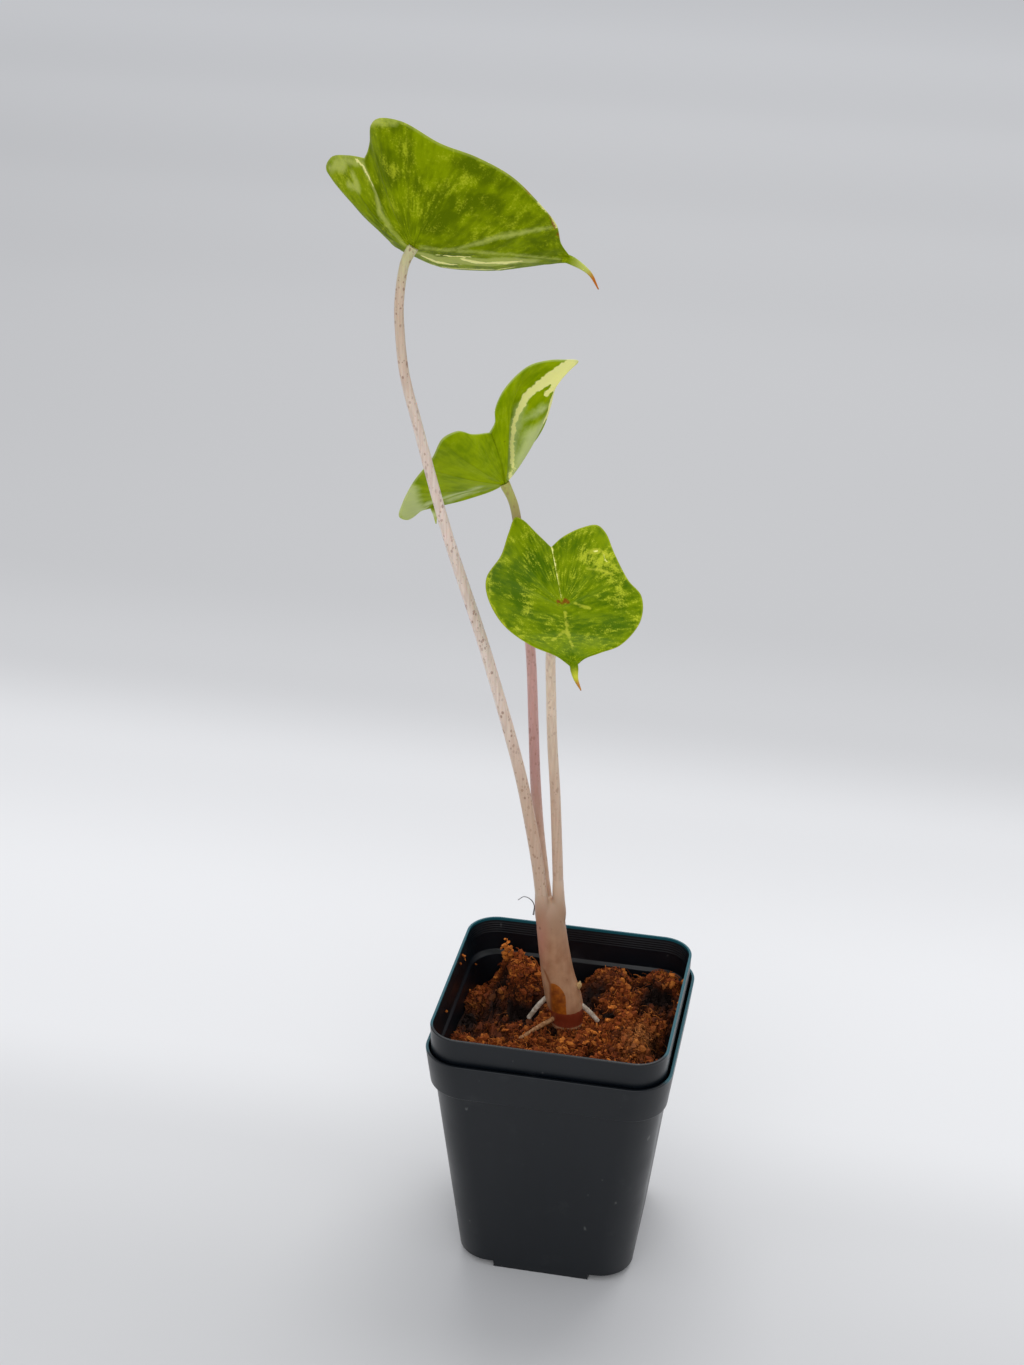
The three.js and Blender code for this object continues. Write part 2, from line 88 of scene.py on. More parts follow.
# %% Smooth curves
def curve_at(points, places):
    """Points of a centripetal Catmull-Rom curve, at places from 0 to 1 of its parameter."""
    points = np.array(points, float)
    padded = np.vstack([2 * points[0] - points[1], points, 2 * points[-1] - points[-2]])
    spans = len(points) - 1
    spot = np.clip(np.asarray(places, float) * spans, 0, spans - 1e-9)
    first = spot.astype(int)
    t = (spot - first)[:, None]
    p0, p1, p2, p3 = (padded[first + step] for step in range(4))
    d0, d1, d2 = (
        np.sqrt(np.linalg.norm(b - a, axis=1))[:, None] for a, b in ((p0, p1), (p1, p2), (p2, p3))
    )
    start = ((p1 - p0) / d0 - (p2 - p0) / (d0 + d1) + (p2 - p1) / d1) * d1
    end = ((p2 - p1) / d1 - (p3 - p1) / (d1 + d2) + (p3 - p2) / d2) * d1
    cubic = 2 * (p1 - p2) + start + end
    return p1 + start * t + (3 * (p2 - p1) - 2 * start - end) * t**2 + cubic * t**3


def evenly(points, shares):
    """Points at shares of the curve's length."""
    steps = np.linspace(0, 1, 1201)
    dense = curve_at(points, steps)
    length = np.concatenate([[0], np.cumsum(np.linalg.norm(np.diff(dense, axis=0), axis=1))])
    return curve_at(points, np.interp(np.asarray(shares) * length[-1], length, steps))


def soft_step(value, low, high):
    """0 below low, 1 above high, smooth between."""
    t = np.clip((np.asarray(value, float) - low) / (high - low), 0, 1)
    return t * t * (3 - 2 * t)


def bump(value, middle, spread):
    """1 at the middle, falling to nothing over a few spreads."""
    return np.exp(-(((value - middle) / spread) ** 2))


# %% Meshes and pieces
def marked(mesh, **numbers):
    """Puts named numbers on a mesh's points, and smooth shading on its faces."""
    for key, values in numbers.items():
        layer = mesh.attributes.new(key, "FLOAT", "POINT")
        layer.data.foreach_set("value", np.asarray(values, np.float32))
    mesh.polygons.foreach_set("use_smooth", [True] * len(mesh.polygons))
    mesh.update()
    return mesh


def mesh_of(name, points, faces, **numbers):
    """A mesh in metres from points in millimetres."""
    mesh = bpy.data.meshes.new(name)
    mesh.from_pydata((np.asarray(points) * MM).tolist(), [], [list(map(int, face)) for face in faces])
    return marked(mesh, **numbers)


def places_of(mesh):
    """The x, y and z of a mesh's points, in millimetres."""
    spots = np.empty(len(mesh.vertices) * 3)
    mesh.vertices.foreach_get("co", spots)
    return spots.reshape(-1, 3).T / MM


def from_work(name, work):
    mesh = bpy.data.meshes.new(name)
    work.to_mesh(mesh)
    work.free()
    return mesh


def object_of(name, mesh):
    made = bpy.data.objects.new(name, mesh)
    bpy.context.scene.collection.objects.link(made)
    return made


def baked(maker):
    """The evaluated mesh of an object, which is then removed."""
    view = bpy.context.evaluated_depsgraph_get()
    finished = maker.evaluated_get(view)
    mesh = bpy.data.meshes.new_from_object(finished, preserve_all_data_layers=True, depsgraph=view)
    bpy.data.objects.remove(maker)
    return mesh


def show(name, mesh, material, slot, *nodes):
    """Makes a finished piece that rides on the part's only body."""
    mesh.name = name
    if not any(mesh.materials):
        mesh.materials.clear()
        mesh.materials.append(material)
    piece = object_of(name, mesh)
    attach(piece, "root")
    if nodes:
        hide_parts(*nodes)
    print(name, "has", sum(len(face.vertices) - 2 for face in mesh.polygons), "triangles")


def loft(rings):
    """Points and faces through rings of equal count, closed by a fan at each end."""
    count = len(rings[0])
    points = [point for ring in rings for point in ring]
    faces = []
    for row in range(len(rings) - 1):
        for place in range(count):
            here = row * count + place
            beside = row * count + (place + 1) % count
            faces.append((here, beside, beside + count, here + count))
    for ring, base in ((rings[0], 0), (rings[-1], (len(rings) - 1) * count)):
        points.append(np.mean(ring, axis=0))
        for place in range(count):
            edge = (base + place, base + (place + 1) % count)
            faces.append((len(points) - 1, *(edge[::-1] if base == 0 else edge)))
    return points, faces


# %% [markdown]
# ## Helpers for node trees
# Materials and Geometry Nodes share these helpers. The first makes a node, sets its options, and fills each
# input with either a plain value or a link, whichever it is given. The others make the nodes used most.


# %% Nodes
def fill(made, inputs):
    for key, value in inputs.items():
        if isinstance(value, bpy.types.NodeSocket):
            made.id_data.links.new(value, made.inputs[key])
        else:
            made.inputs[key].default_value = value


def node(tree, kind, inputs, **options):
    made = tree.nodes.new(kind)
    for key, value in options.items():
        setattr(made, key, value)
    fill(made, inputs)
    return made


def out_of(tree, kind, inputs, **options):
    """The first output of a new node."""
    return node(tree, kind, inputs, **options).outputs[0]


def math_of(tree, operation, *values):
    return out_of(tree, "ShaderNodeMath", dict(enumerate(values)), operation=operation)


def product(tree, first, second):
    return math_of(tree, "MULTIPLY", first, second)


def weighed(tree, value, weight, rest):
    """A value times its weight, plus the rest."""
    return math_of(tree, "MULTIPLY_ADD", value, weight, rest)


def vector_of(tree, operation, inputs):
    return out_of(tree, "ShaderNodeVectorMath", inputs, operation=operation)


def axis_of(tree, place, axis):
    return node(tree, "ShaderNodeSeparateXYZ", {0: place}).outputs[axis]


def blend(tree, factor, first, second):
    inputs = {0: factor, 6: first, 7: second}
    return node(tree, "ShaderNodeMix", inputs, data_type="RGBA").outputs[2]


def between(tree, value, low, high, to_low=0.0, to_high=1.0):
    """A value brought from one range to another, smooth at both ends."""
    inputs = {"Value": value, 1: low, 2: high, 3: to_low, 4: to_high}
    return out_of(tree, "ShaderNodeMapRange", inputs, interpolation_type="SMOOTHSTEP")


def number(tree, name):
    """A number that the mesh carries on its points."""
    return node(tree, "ShaderNodeAttribute", {}, attribute_name=name).outputs["Fac"]


def noise_of(tree, place, detail, scale=1.0, output="Fac", **more):
    inputs = {"Vector": place, "Scale": scale, "Detail": detail, **more}
    return node(tree, "ShaderNodeTexNoise", inputs).outputs[output]


def clouds(tree, place, size, detail=3.0, rough=0.55):
    """Soft noise whose blobs are about size millimetres across."""
    spot = out_of(tree, "ShaderNodeMapping", {"Vector": place, "Scale": (1 / (size * MM),) * 3})
    return noise_of(tree, spot, detail, Roughness=rough)


def rgb(red, green, blue):
    """A colour as read from a picture, from 0 to 255, as a shader wants it."""
    shares = [value / 255 for value in (red, green, blue)]
    return (*(((v + 0.055) / 1.055) ** 2.4 if v > 0.0404 else v / 12.92 for v in shares), 1.0)


def material_of(name):
    """An empty material, its tree and its shader, and the object's own coordinates."""
    material = bpy.data.materials.new(name)
    material.use_nodes = True
    tree = material.node_tree
    place = node(tree, "ShaderNodeTexCoord", {}).outputs["Object"]
    return material, tree, tree.nodes["Principled BSDF"], place


def relief(tree, height, distance):
    """Small relief from a height between 0 and 1, over a distance in millimetres."""
    inputs = {"Height": height, "Distance": distance * MM, "Strength": 1.0}
    return out_of(tree, "ShaderNodeBump", inputs)


def flesh(weight, reach, scale):
    """The inputs that scatter light below a surface, further for some colours than for others."""
    return {"Subsurface Weight": weight, "Subsurface Radius": reach, "Subsurface Scale": scale * MM}


# %% [markdown]
# ## Effects that several finishes share
# Brown freckles sit on the stalks and the stem, and dust sits on the plastic: both are scattered spots.
# The stem, the stalks, the roots and the plastic all show fine lines along their length. Each effect is
# one node group with its own numbers, and puts out a mask.

# %% Shared effects
SPOT_WOBBLE = (0.35,) * 3
SPOT_EDGE = 0.06


def effect(name, **numbers):
    """A node group with a place, named numbers and one mask."""
    group = bpy.data.node_groups.new(name, "ShaderNodeTree")
    group.interface.new_socket("Place", in_out="INPUT", socket_type="NodeSocketVector")
    for key, value in numbers.items():
        socket = group.interface.new_socket(key, in_out="INPUT", socket_type="NodeSocketFloat")
        socket.default_value = value
    group.interface.new_socket("Mask", in_out="OUTPUT", socket_type="NodeSocketFloat")
    return group, node(group, "NodeGroupInput", {}).outputs


def use(tree, group, place, **numbers):
    return node(tree, "ShaderNodeGroup", {"Place": place, **numbers}, node_tree=group).outputs["Mask"]


freckles, given = effect("freckles", Spacing=2.0, Size=0.25, Share=0.5, Height=1.0)
wide = math_of(freckles, "DIVIDE", 1 / MM, given["Spacing"])
high = math_of(freckles, "DIVIDE", wide, given["Height"])
grid = out_of(freckles, "ShaderNodeCombineXYZ", {0: wide, 1: wide, 2: high})
spot = vector_of(freckles, "MULTIPLY", {0: given["Place"], 1: grid})
wobble = noise_of(freckles, spot, 2.0, 3.0, "Color")
shifted = vector_of(freckles, "MULTIPLY_ADD", {0: wobble, 1: SPOT_WOBBLE, 2: spot})
cells = node(freckles, "ShaderNodeTexVoronoi", {"Vector": shifted, "Scale": 1.0})
lucky = node(freckles, "ShaderNodeSeparateColor", {0: cells.outputs["Color"]}).outputs
chosen = math_of(freckles, "LESS_THAN", lucky[0], given["Share"])
reach = product(freckles, given["Size"], lucky[1])
inside = math_of(freckles, "SUBTRACT", reach, cells.outputs["Distance"])
soft = between(freckles, inside, -SPOT_EDGE, SPOT_EDGE)
node(freckles, "NodeGroupOutput", {"Mask": product(freckles, chosen, soft)})

long_lines, given = effect("long lines", Width=0.5, Length=12.0)
wide = math_of(long_lines, "DIVIDE", 1 / MM, given["Width"])
high = math_of(long_lines, "DIVIDE", 1 / MM, given["Length"])
grid = out_of(long_lines, "ShaderNodeCombineXYZ", {0: wide, 1: wide, 2: high})
spot = vector_of(long_lines, "MULTIPLY", {0: given["Place"], 1: grid})
node(long_lines, "NodeGroupOutput", {"Mask": noise_of(long_lines, spot, 3.0)})
print("effects:", freckles.name, "and", long_lines.name)

# %% [markdown]
# ## Nursery pot plastic
# The pots are thin dark plastic with a satin face: nearly black, a little blue, with soft grey light on the
# round corners. A flat black would look like a hole, so the roughness wanders, faint flow lines run down
# the sides and dust clings to it. The top of the rim at the back and sides gets a painted teal glow that
# stands for light coming through the thin plastic.

# %% Pot plastic
POT_BLACK = rgb(2, 7, 14)
POT_FLOW = rgb(5, 12, 20)
# Painted light: a teal glow that stands for light through the thin plastic of the rim.
PAINTED_LIP_GLOW = rgb(12, 86, 98)
DUST_GREY = rgb(120, 122, 120)


def pot_plastic():
    material, tree, shader, place = material_of("pot plastic")
    flow = use(tree, long_lines, place, Width=3.0, Length=60.0)
    base = blend(tree, flow, POT_BLACK, POT_FLOW)
    # Painted glow on the top of the rim, at the back and sides.
    base = blend(tree, between(tree, number(tree, "lip"), 0.2, 0.6), base, PAINTED_LIP_GLOW)
    dust = product(tree, use(tree, freckles, place, Spacing=4.5, Size=0.1, Share=0.4, Height=1.6), 0.35)
    smear = between(tree, clouds(tree, place, 9, 5), 0.6, 0.8, 0.0, 0.05)
    base = blend(tree, math_of(tree, "MAXIMUM", dust, smear), base, DUST_GREY)
    sheen = between(tree, clouds(tree, place, 14, 4), 0.3, 0.7, 0.34, 0.42)
    height = weighed(tree, flow, 0.6, product(tree, clouds(tree, place, 0.9, 2), 0.4))
    looks = {"Base Color": base, "Roughness": sheen, "Normal": relief(tree, height, 0.02)}
    fill(shader, {**looks, "Specular IOR Level": 0.44})
    return material


POT_PLASTIC = pot_plastic()
print("made", POT_PLASTIC.name)

# %% [markdown]
# ## The pots
# Both pots come from one mould family: square with round corners, tapered, with a wider band at the rim, a
# small ledge below the band, notched corners at the foot and drain holes. A loft through square rings
# follows that rule. Turned edges need several rings each, so a helper rounds every corner of the wall's
# outline before it is lofted. The inner pot's taper rests in the outer one, which sets how high it stands.

# %% Pot sizes
WALL = 0.6
BAND_WALL = 0.8
POT_FLOOR = 0.9
BASE_SIDE = 52.9
BASE_CORNER = 10.4
BODY_CORNER = 10.7
FOOT_INSET = 4
BAND_HEIGHT = 11.9
SEAT_GAP = 0.3
NOTCH_HEIGHT = 2.3
NOTCH_RADIUS = 12
DRAIN_RADIUS = 2.5
DRAIN_OFFSET = 20.7
FINE_RINGS = 5
FINE_RING_PITCH = 0.8
FINE_RING_HALF = 0.25
FINE_RING_DEPTH = 0.2
TOP_RING_DROP = 1.8
SHARP_EDGE = math.radians(40)

OUTER_POT = dict(foot=0, rim=78.2, ledge_side=67.3, band_side=70.1, rim_side=72.7, rim_corner=11.5)
HALF_TAPER = (OUTER_POT["ledge_side"] - BASE_SIDE) / 2 / (OUTER_POT["rim"] - BAND_HEIGHT)
NEST_RAISE = (WALL + SEAT_GAP) / HALF_TAPER
INNER_POT = dict(
    foot=NEST_RAISE, rim=86.2, ledge_side=67.2, band_side=69.2, rim_side=70, rim_corner=9.5
)
print("the inner pot stands", round(NEST_RAISE, 2), "mm above the outer one")


# %% Pot loft
def square_ring(side, corner, height, steps=14):
    """A square with round corners, counterclockwise from above."""
    ring = []
    for quarter in range(4):
        middle = (quarter + 0.5) * math.pi / 2
        cx = math.copysign(side / 2 - corner, math.cos(middle))
        cy = math.copysign(side / 2 - corner, math.sin(middle))
        for step in range(steps + 1):
            angle = (quarter + step / steps) * math.pi / 2
            ring.append((cx + corner * math.cos(angle), cy + corner * math.sin(angle), height))
    return ring


def rounded(outline, radius, steps=4):
    """An outline of (side, corner, height) with each inner point turned into a short arc."""
    outline = np.array(outline, float)
    made = [outline[0]]
    for before, here, after in zip(outline, outline[1:], outline[2:]):
        starts = []
        for other in (before, after):
            apart = np.hypot((other - here)[0] / 2, (other - here)[2])
            starts.append(here + (other - here) * min(radius, 0.45 * apart) / apart)
        for t in np.linspace(0, 1, steps + 1):
            made.append((1 - t) ** 2 * starts[0] + 2 * t * (1 - t) * here + t**2 * starts[1])
    made.append(outline[-1])
    return made


def square_solid(outline, radius):
    return mesh_of("square solid", *loft([square_ring(*ring) for ring in rounded(outline, radius)]))


def corner_posts(offset, radius, low, high):
    """Upright posts at the four corners of a square, as tools to cut with."""
    work = bmesh.new()
    for sx in (-1, 1):
        for sy in (-1, 1):
            place = Matrix.Translation(Vector((sx * offset, sy * offset, (low + high) / 2)) * MM)
            size = dict(radius1=radius * MM, radius2=radius * MM, depth=(high - low) * MM)
            bmesh.ops.create_cone(work, cap_ends=True, segments=64, matrix=place, **size)
    return from_work("posts", work)


def carved(mesh, *tools):
    """A closed mesh with other closed meshes cut from it."""
    made = object_of("being carved", mesh)
    cutters = [object_of("cutter", tool) for tool in tools]
    for cutter in cutters:
        cut = made.modifiers.new("cut", "BOOLEAN")
        cut.operation = "DIFFERENCE"
        cut.solver = "MANIFOLD"
        cut.object = cutter
    result = baked(made)
    for cutter in cutters:
        bpy.data.objects.remove(cutter)
    return result


def creased(mesh):
    """Keeps sharp edges as hard lines in the smooth shading."""
    work = bmesh.new()
    work.from_mesh(mesh)
    for edge in work.edges:
        edge.smooth = len(edge.link_faces) == 2 and edge.calc_face_angle(0) < SHARP_EDGE
    work.to_mesh(mesh)
    work.free()
    return mesh


def cavity_outline(foot, rim, ledge_side, band_side, rim_side, rim_corner):
    """The inside of a pot, with fine rings pressed into the wall below the rim."""
    ledge = rim - BAND_HEIGHT
    inner_rim = rim_side - 2 * BAND_WALL
    inner_band = band_side - 2 * BAND_WALL
    corner = rim_corner - BAND_WALL
    outline = [
        (BASE_SIDE - 2 * FOOT_INSET, BASE_CORNER - FOOT_INSET, foot + POT_FLOOR),
        (BASE_SIDE - 2 * WALL, BASE_CORNER - WALL, foot + POT_FLOOR),
        (ledge_side - 2 * WALL, BODY_CORNER - WALL, ledge - 0.2),
        (inner_band, corner, ledge + 0.7),
    ]
    for ring in range(FINE_RINGS):
        height = rim - TOP_RING_DROP - FINE_RING_PITCH * (FINE_RINGS - 1 - ring)
        side = inner_rim - (inner_rim - inner_band) * (rim - height) / BAND_HEIGHT
        for lift, cut in ((-FINE_RING_HALF, 0), (0, FINE_RING_DEPTH), (FINE_RING_HALF, 0)):
            outline.append((side - cut, corner, height + lift))
    return outline + [(inner_rim, corner, rim + lift) for lift in (-1, 0, 1)]


def pot_mesh(**pot):
    foot, rim, ledge_side, band_side, rim_side, rim_corner = pot.values()
    ledge = rim - BAND_HEIGHT
    outside = [
        (BASE_SIDE - 2 * FOOT_INSET, BASE_CORNER - FOOT_INSET, foot),
        (BASE_SIDE, BASE_CORNER, foot),
        (ledge_side, BODY_CORNER, ledge - 0.7),
        (band_side, rim_corner, ledge),
        (rim_side - 0.2, rim_corner, rim - 1),
        (rim_side, rim_corner, rim),
        (rim_side - 2 * BAND_WALL, rim_corner - BAND_WALL, rim),
    ]
    low = foot - 1
    raised = foot + NOTCH_HEIGHT
    corner = BASE_SIDE / 2
    notch_floor = corner_posts(corner, NOTCH_RADIUS + WALL, low, raised + POT_FLOOR)
    cavity = carved(square_solid(cavity_outline(**pot), 0.2), notch_floor)
    notches = corner_posts(corner, NOTCH_RADIUS, low, raised)
    drains = corner_posts(DRAIN_OFFSET, DRAIN_RADIUS, low, raised + 2 * POT_FLOOR)
    mesh = carved(square_solid(outside, 0.4), notches, cavity, drains)
    depth, height = places_of(mesh)[1:]
    # The lip number masks the painted teal glow: the top of the rim, on the back and sides only.
    back = soft_step(depth, 1 - rim_side / 2, 14 - rim_side / 2)
    return creased(marked(mesh, lip=soft_step(height, rim - 1.1, rim - 0.5) * back))


show("outer_pot_shell", pot_mesh(**OUTER_POT), POT_PLASTIC, "pot_plastic", "outer_pot")
show("inner_pot_shell", pot_mesh(**INNER_POT), POT_PLASTIC, "pot_plastic", "inner_pot")

# %% [markdown]
# ## Coir
# Coir is chopped coconut husk: fluffy rust-brown crumbs that cling together in clumps, with deep dark holes
# between them and short fibres over all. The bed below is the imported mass. It carries the clumps and
# hollows of the photograph and ends at the pot's wall. Thousands of crumbs then follow its surface, which
# is what Geometry Nodes are for.

# %% Coir finish
COIR_DARK = rgb(22, 8, 4)
COIR_MID = rgb(142, 66, 24)
COIR_LIGHT = rgb(206, 122, 48)
COIR_TAN = rgb(224, 150, 84)


def coir_finish():
    material, tree, shader, place = material_of("coir crumbs")
    grain = clouds(tree, place, 0.5, 4)
    mottled = weighed(tree, number(tree, "shade"), 0.42, product(tree, grain, 0.4))
    mottled = weighed(tree, clouds(tree, place, 5, 3), 0.5, mottled)
    base = blend(tree, between(tree, mottled, 0.34, 0.66), COIR_DARK, COIR_MID)
    base = blend(tree, between(tree, mottled, 0.62, 0.95), base, COIR_LIGHT)
    base = blend(tree, product(tree, number(tree, "tan"), grain), base, COIR_TAN)
    # Painted shade: the depth number darkens the cracks, the pits and the painted shadow spots.
    base = blend(tree, number(tree, "depth"), base, COIR_DARK)
    bumps = relief(tree, clouds(tree, place, 0.25, 3), 0.08)
    fill(shader, {"Base Color": base, "Roughness": 0.9, "Normal": bumps, "Specular IOR Level": 0.2})
    return material


COIR = coir_finish()
print("made", COIR.name)

# %% Coir bed
COIR_LEVEL = 70
FRONT_RISE = 3.5
BED_RINGS = 80
BED_FOOT = 12
CRACK_DEPTH = 2.0
CRACK_WIDTH = 0.12
PIT_DEPTH = 3.0
STEM_REACH = 9
TAN_PATCH = [(23.5, -1.5, 3.2, 1)]
# Each heap, hollow, pit and shadow is (x, y, spread, height or strength).
CLUMPS = [
    (-17, 22, 6, 10.5), (-22, 27, 2.4, 4), (10, 23, 6, 9), (26, 25, 5, 8), (23, 4, 6, 4), (-9, -3, 5, 1.5),
]
HOLLOWS = [(-15, 12, 4, 5), (-29, 26, 5, 7), (30, -1, 2.5, 5), (-4, 28, 6, 4)]
PITS = [
    (-18.5, 9, 2.8, 4), (-12.5, 9, 2.6, 3.5), (6, 20, 2.6, 4), (18.7, 30, 2.4, 6), (18, 22, 1.6, 3),
    (25, 21, 1.8, 3), (30, -1.5, 2.2, 4), (-29, 6, 4, 3.5), (-24, -4, 2.2, 2), (-3.5, -10.2, 1.4, 2),
    (-19.7, 2, 1.6, 2), (13, -17, 1.5, 2), (-12, -20, 1.6, 2), (21, -9, 1.5, 2),
]
# The shadows are painted shade: dark spots in the coir's colour where the clumps and walls shade it.
SHADOWS = [
    (-18.5, 10, 3, 1.1), (-12.5, 10, 2.8, 1.1), (-22.5, 9, 1.8, 1.1), (4, 18, 3.4, 1.1),
    (24, 16, 3, 1.1), (28.5, 17, 2.6, 1.1), (31, 2, 2.4, 1.1), (12, 9.5, 1.8, 1.1),
    (-30, -1, 2.4, 1.1), (-27.5, 9.5, 1.6, 1.1),
]


def heaps(x, y, places):
    total = 0
    for middle_x, middle_y, spread, tall in places:
        away = (x - middle_x) ** 2 + (y - middle_y) ** 2
        total = total + tall * np.exp(-away / (2 * spread**2))
    return total


def waves(x, y, often, layer):
    return np.array([noise.noise(Vector((a * often, b * often, layer))) for a, b in zip(x, y)])


def coir_height(x, y):
    height = COIR_LEVEL + FRONT_RISE * soft_step(-y, 6, 24)
    height += 0.45 * np.sin(0.9 * x + 0.4 * y) * np.cos(0.7 * y - 0.3 * x)
    height += 0.35 * np.sin(1.7 * x - 1.3 * y + 0.6)
    return height + heaps(x, y, CLUMPS) - heaps(x, y, HOLLOWS)


def bed_side(height):
    return BASE_SIDE + 2 * HALF_TAPER * (height - NEST_RAISE) - 2 * (WALL + SEAT_GAP) - 0.2


def crumbly(x, y):
    """The relief of packed crumbs, lumps between cracks and pits, as height and painted shade: darker in
    the cracks, the pits and the shadow spots.
    """
    lumps, small, open_spots = waves(x, y, 0.34, 3.1), waves(x, y, 0.9, 5.2), waves(x, y, 0.17, 9.4)
    fine = np.array([noise.fractal(Vector((a * 1.3, b * 1.3, 7.7)), 0.8, 2.0, 3) for a, b in zip(x, y)])
    crack = 0.7 * bump(lumps, 0, CRACK_WIDTH) + 0.4 * bump(small, 0, CRACK_WIDTH)
    pit = PIT_DEPTH * soft_step(open_spots, 0.18, 0.42) + heaps(x, y, PITS)
    near_stem = bump(x, 0, STEM_REACH) * bump(y, 2, STEM_REACH)
    drop = (CRACK_DEPTH * crack + pit) * (1 - 0.7 * near_stem)
    height = 2.2 * abs(lumps) + 0.8 * abs(small) + 0.5 * fine - drop - 0.2
    return height, np.minimum(1, 0.5 * crack + 0.27 * pit + heaps(x, y, SHADOWS))


def bed_mesh():
    wide_side = bed_side(COIR_LEVEL)
    edge = np.array(square_ring(2, 9.5 / wide_side * 2, 0, steps=18))[:, :2]
    stretches = zip(edge, np.roll(edge, -1, axis=0))
    edge = np.concatenate([np.linspace(a, b, 6, endpoint=False) for a, b in stretches])
    rings = [np.column_stack([edge * bed_side(BED_FOOT) / 2, np.full(len(edge), BED_FOOT)])]
    # depth is painted shade, read by the finish and carried onto the crumbs.
    depth = [0.0] * len(edge)
    for ring in range(BED_RINGS, 0, -1):
        share = ring / BED_RINGS
        place = edge * share * wide_side / 2
        uneven, shade = crumbly(*place.T)
        height = coir_height(*place.T) + uneven
        wider = share**6 * (bed_side(height) / wide_side - 1) + 1
        rings.append(np.column_stack([place * wider[:, None], height]))
        depth += list(shade)
    points, faces = loft(rings)
    side = [0.0] * (2 * len(edge))
    cover = side + [1.0] * (len(points) - len(side) - 2) + [0.0, 1.0]
    marks = dict(shade=[0.25] * len(points), depth=depth + [0.0, 0.0], cover=cover)
    return mesh_of("coir bed", points, faces, **marks, tan=heaps(*np.array(points)[:, :2].T, TAN_PATCH))


bed = bed_mesh()
show("coir_bed", bed, COIR, "coir", "coir_soil")

# %% [markdown]
# ## Crumbs and fibres of the coir
# One tree scatters points over the upper faces of the bed and sets a small shape on each, turned and
# squeezed at random. It runs twice, for round lumps and for sharp chips. A second tree sets short bent
# fibres. Random seeds are fixed, so each run gives the same coir. Instances are made real at the end, so
# that each piece is a plain mesh.


# %% Tree helpers
def geometry_tree(name, **numbers):
    """A tree that changes a mesh, with a named input for each number."""
    tree = bpy.data.node_groups.new(name, "GeometryNodeTree")
    for way in ("INPUT", "OUTPUT"):
        tree.interface.new_socket("Geometry", in_out=way, socket_type="NodeSocketGeometry")
    for key, value in numbers.items():
        kind = "NodeSocketInt" if isinstance(value, int) else "NodeSocketFloat"
        tree.interface.new_socket(key, in_out="INPUT", socket_type=kind).default_value = value
    return tree, node(tree, "NodeGroupInput", {}).outputs


def grown(name, mesh, tree, **numbers):
    """The mesh that a tree makes from another mesh."""
    maker = object_of(name, mesh)
    modifier = maker.modifiers.new(name, "NODES")
    modifier.node_group = tree
    known = {item.name: item.identifier for item in tree.interface.items_tree if item.in_out == "INPUT"}
    for key, value in numbers.items():
        modifier[known[key]] = value
    return baked(maker)


def finish_tree(tree, geometry, material, smooth=True):
    real = out_of(tree, "GeometryNodeRealizeInstances", {0: geometry})
    shaded = out_of(tree, "GeometryNodeSetShadeSmooth", {"Geometry": real, "Shade Smooth": smooth})
    dressed = out_of(tree, "GeometryNodeSetMaterial", {"Geometry": shaded, "Material": material})
    node(tree, "NodeGroupOutput", {0: dressed})


def random_of(tree, low, high, seed):
    """A random number between two numbers, or a random vector between two vectors."""
    kind, first = ("FLOAT_VECTOR", 0) if isinstance(low, tuple) else ("FLOAT", 2)
    inputs = {first: low, first + 1: high, "Seed": seed}
    made = node(tree, "FunctionNodeRandomValue", inputs, data_type=kind)
    return next(socket for socket in made.outputs if socket.enabled)


def stored(tree, geometry, name, value, domain):
    inputs = {"Geometry": geometry, "Name": name, "Value": value}
    return out_of(tree, "GeometryNodeStoreNamedAttribute", inputs, data_type="FLOAT", domain=domain)


def carried(tree, name):
    return out_of(tree, "GeometryNodeInputNamedAttribute", {"Name": name}, data_type="FLOAT")


def scattered(tree, given, density, shape, turn, scale):
    """Copies of a shape on the bed: none on its sides and foot, few in its pits."""
    shallow = between(tree, carried(tree, "depth"), 0.2, 0.8, 1.0, 0.2)
    on_top = product(tree, carried(tree, "cover"), shallow)
    inputs = {"Mesh": given["Geometry"], "Density": density(on_top), "Seed": given["Seed"]}
    points = node(tree, "GeometryNodeDistributePointsOnFaces", inputs).outputs["Points"]
    inputs = {"Points": points, "Instance": shape, "Rotation": turn, "Scale": scale}
    return out_of(tree, "GeometryNodeInstanceOnPoints", inputs)


# %% Crumb tree
PATCH_SCALE = 160.0
RAGGED_SCALE = 1700.0
FULL_TURN = (6.28, 6.28, 6.28)


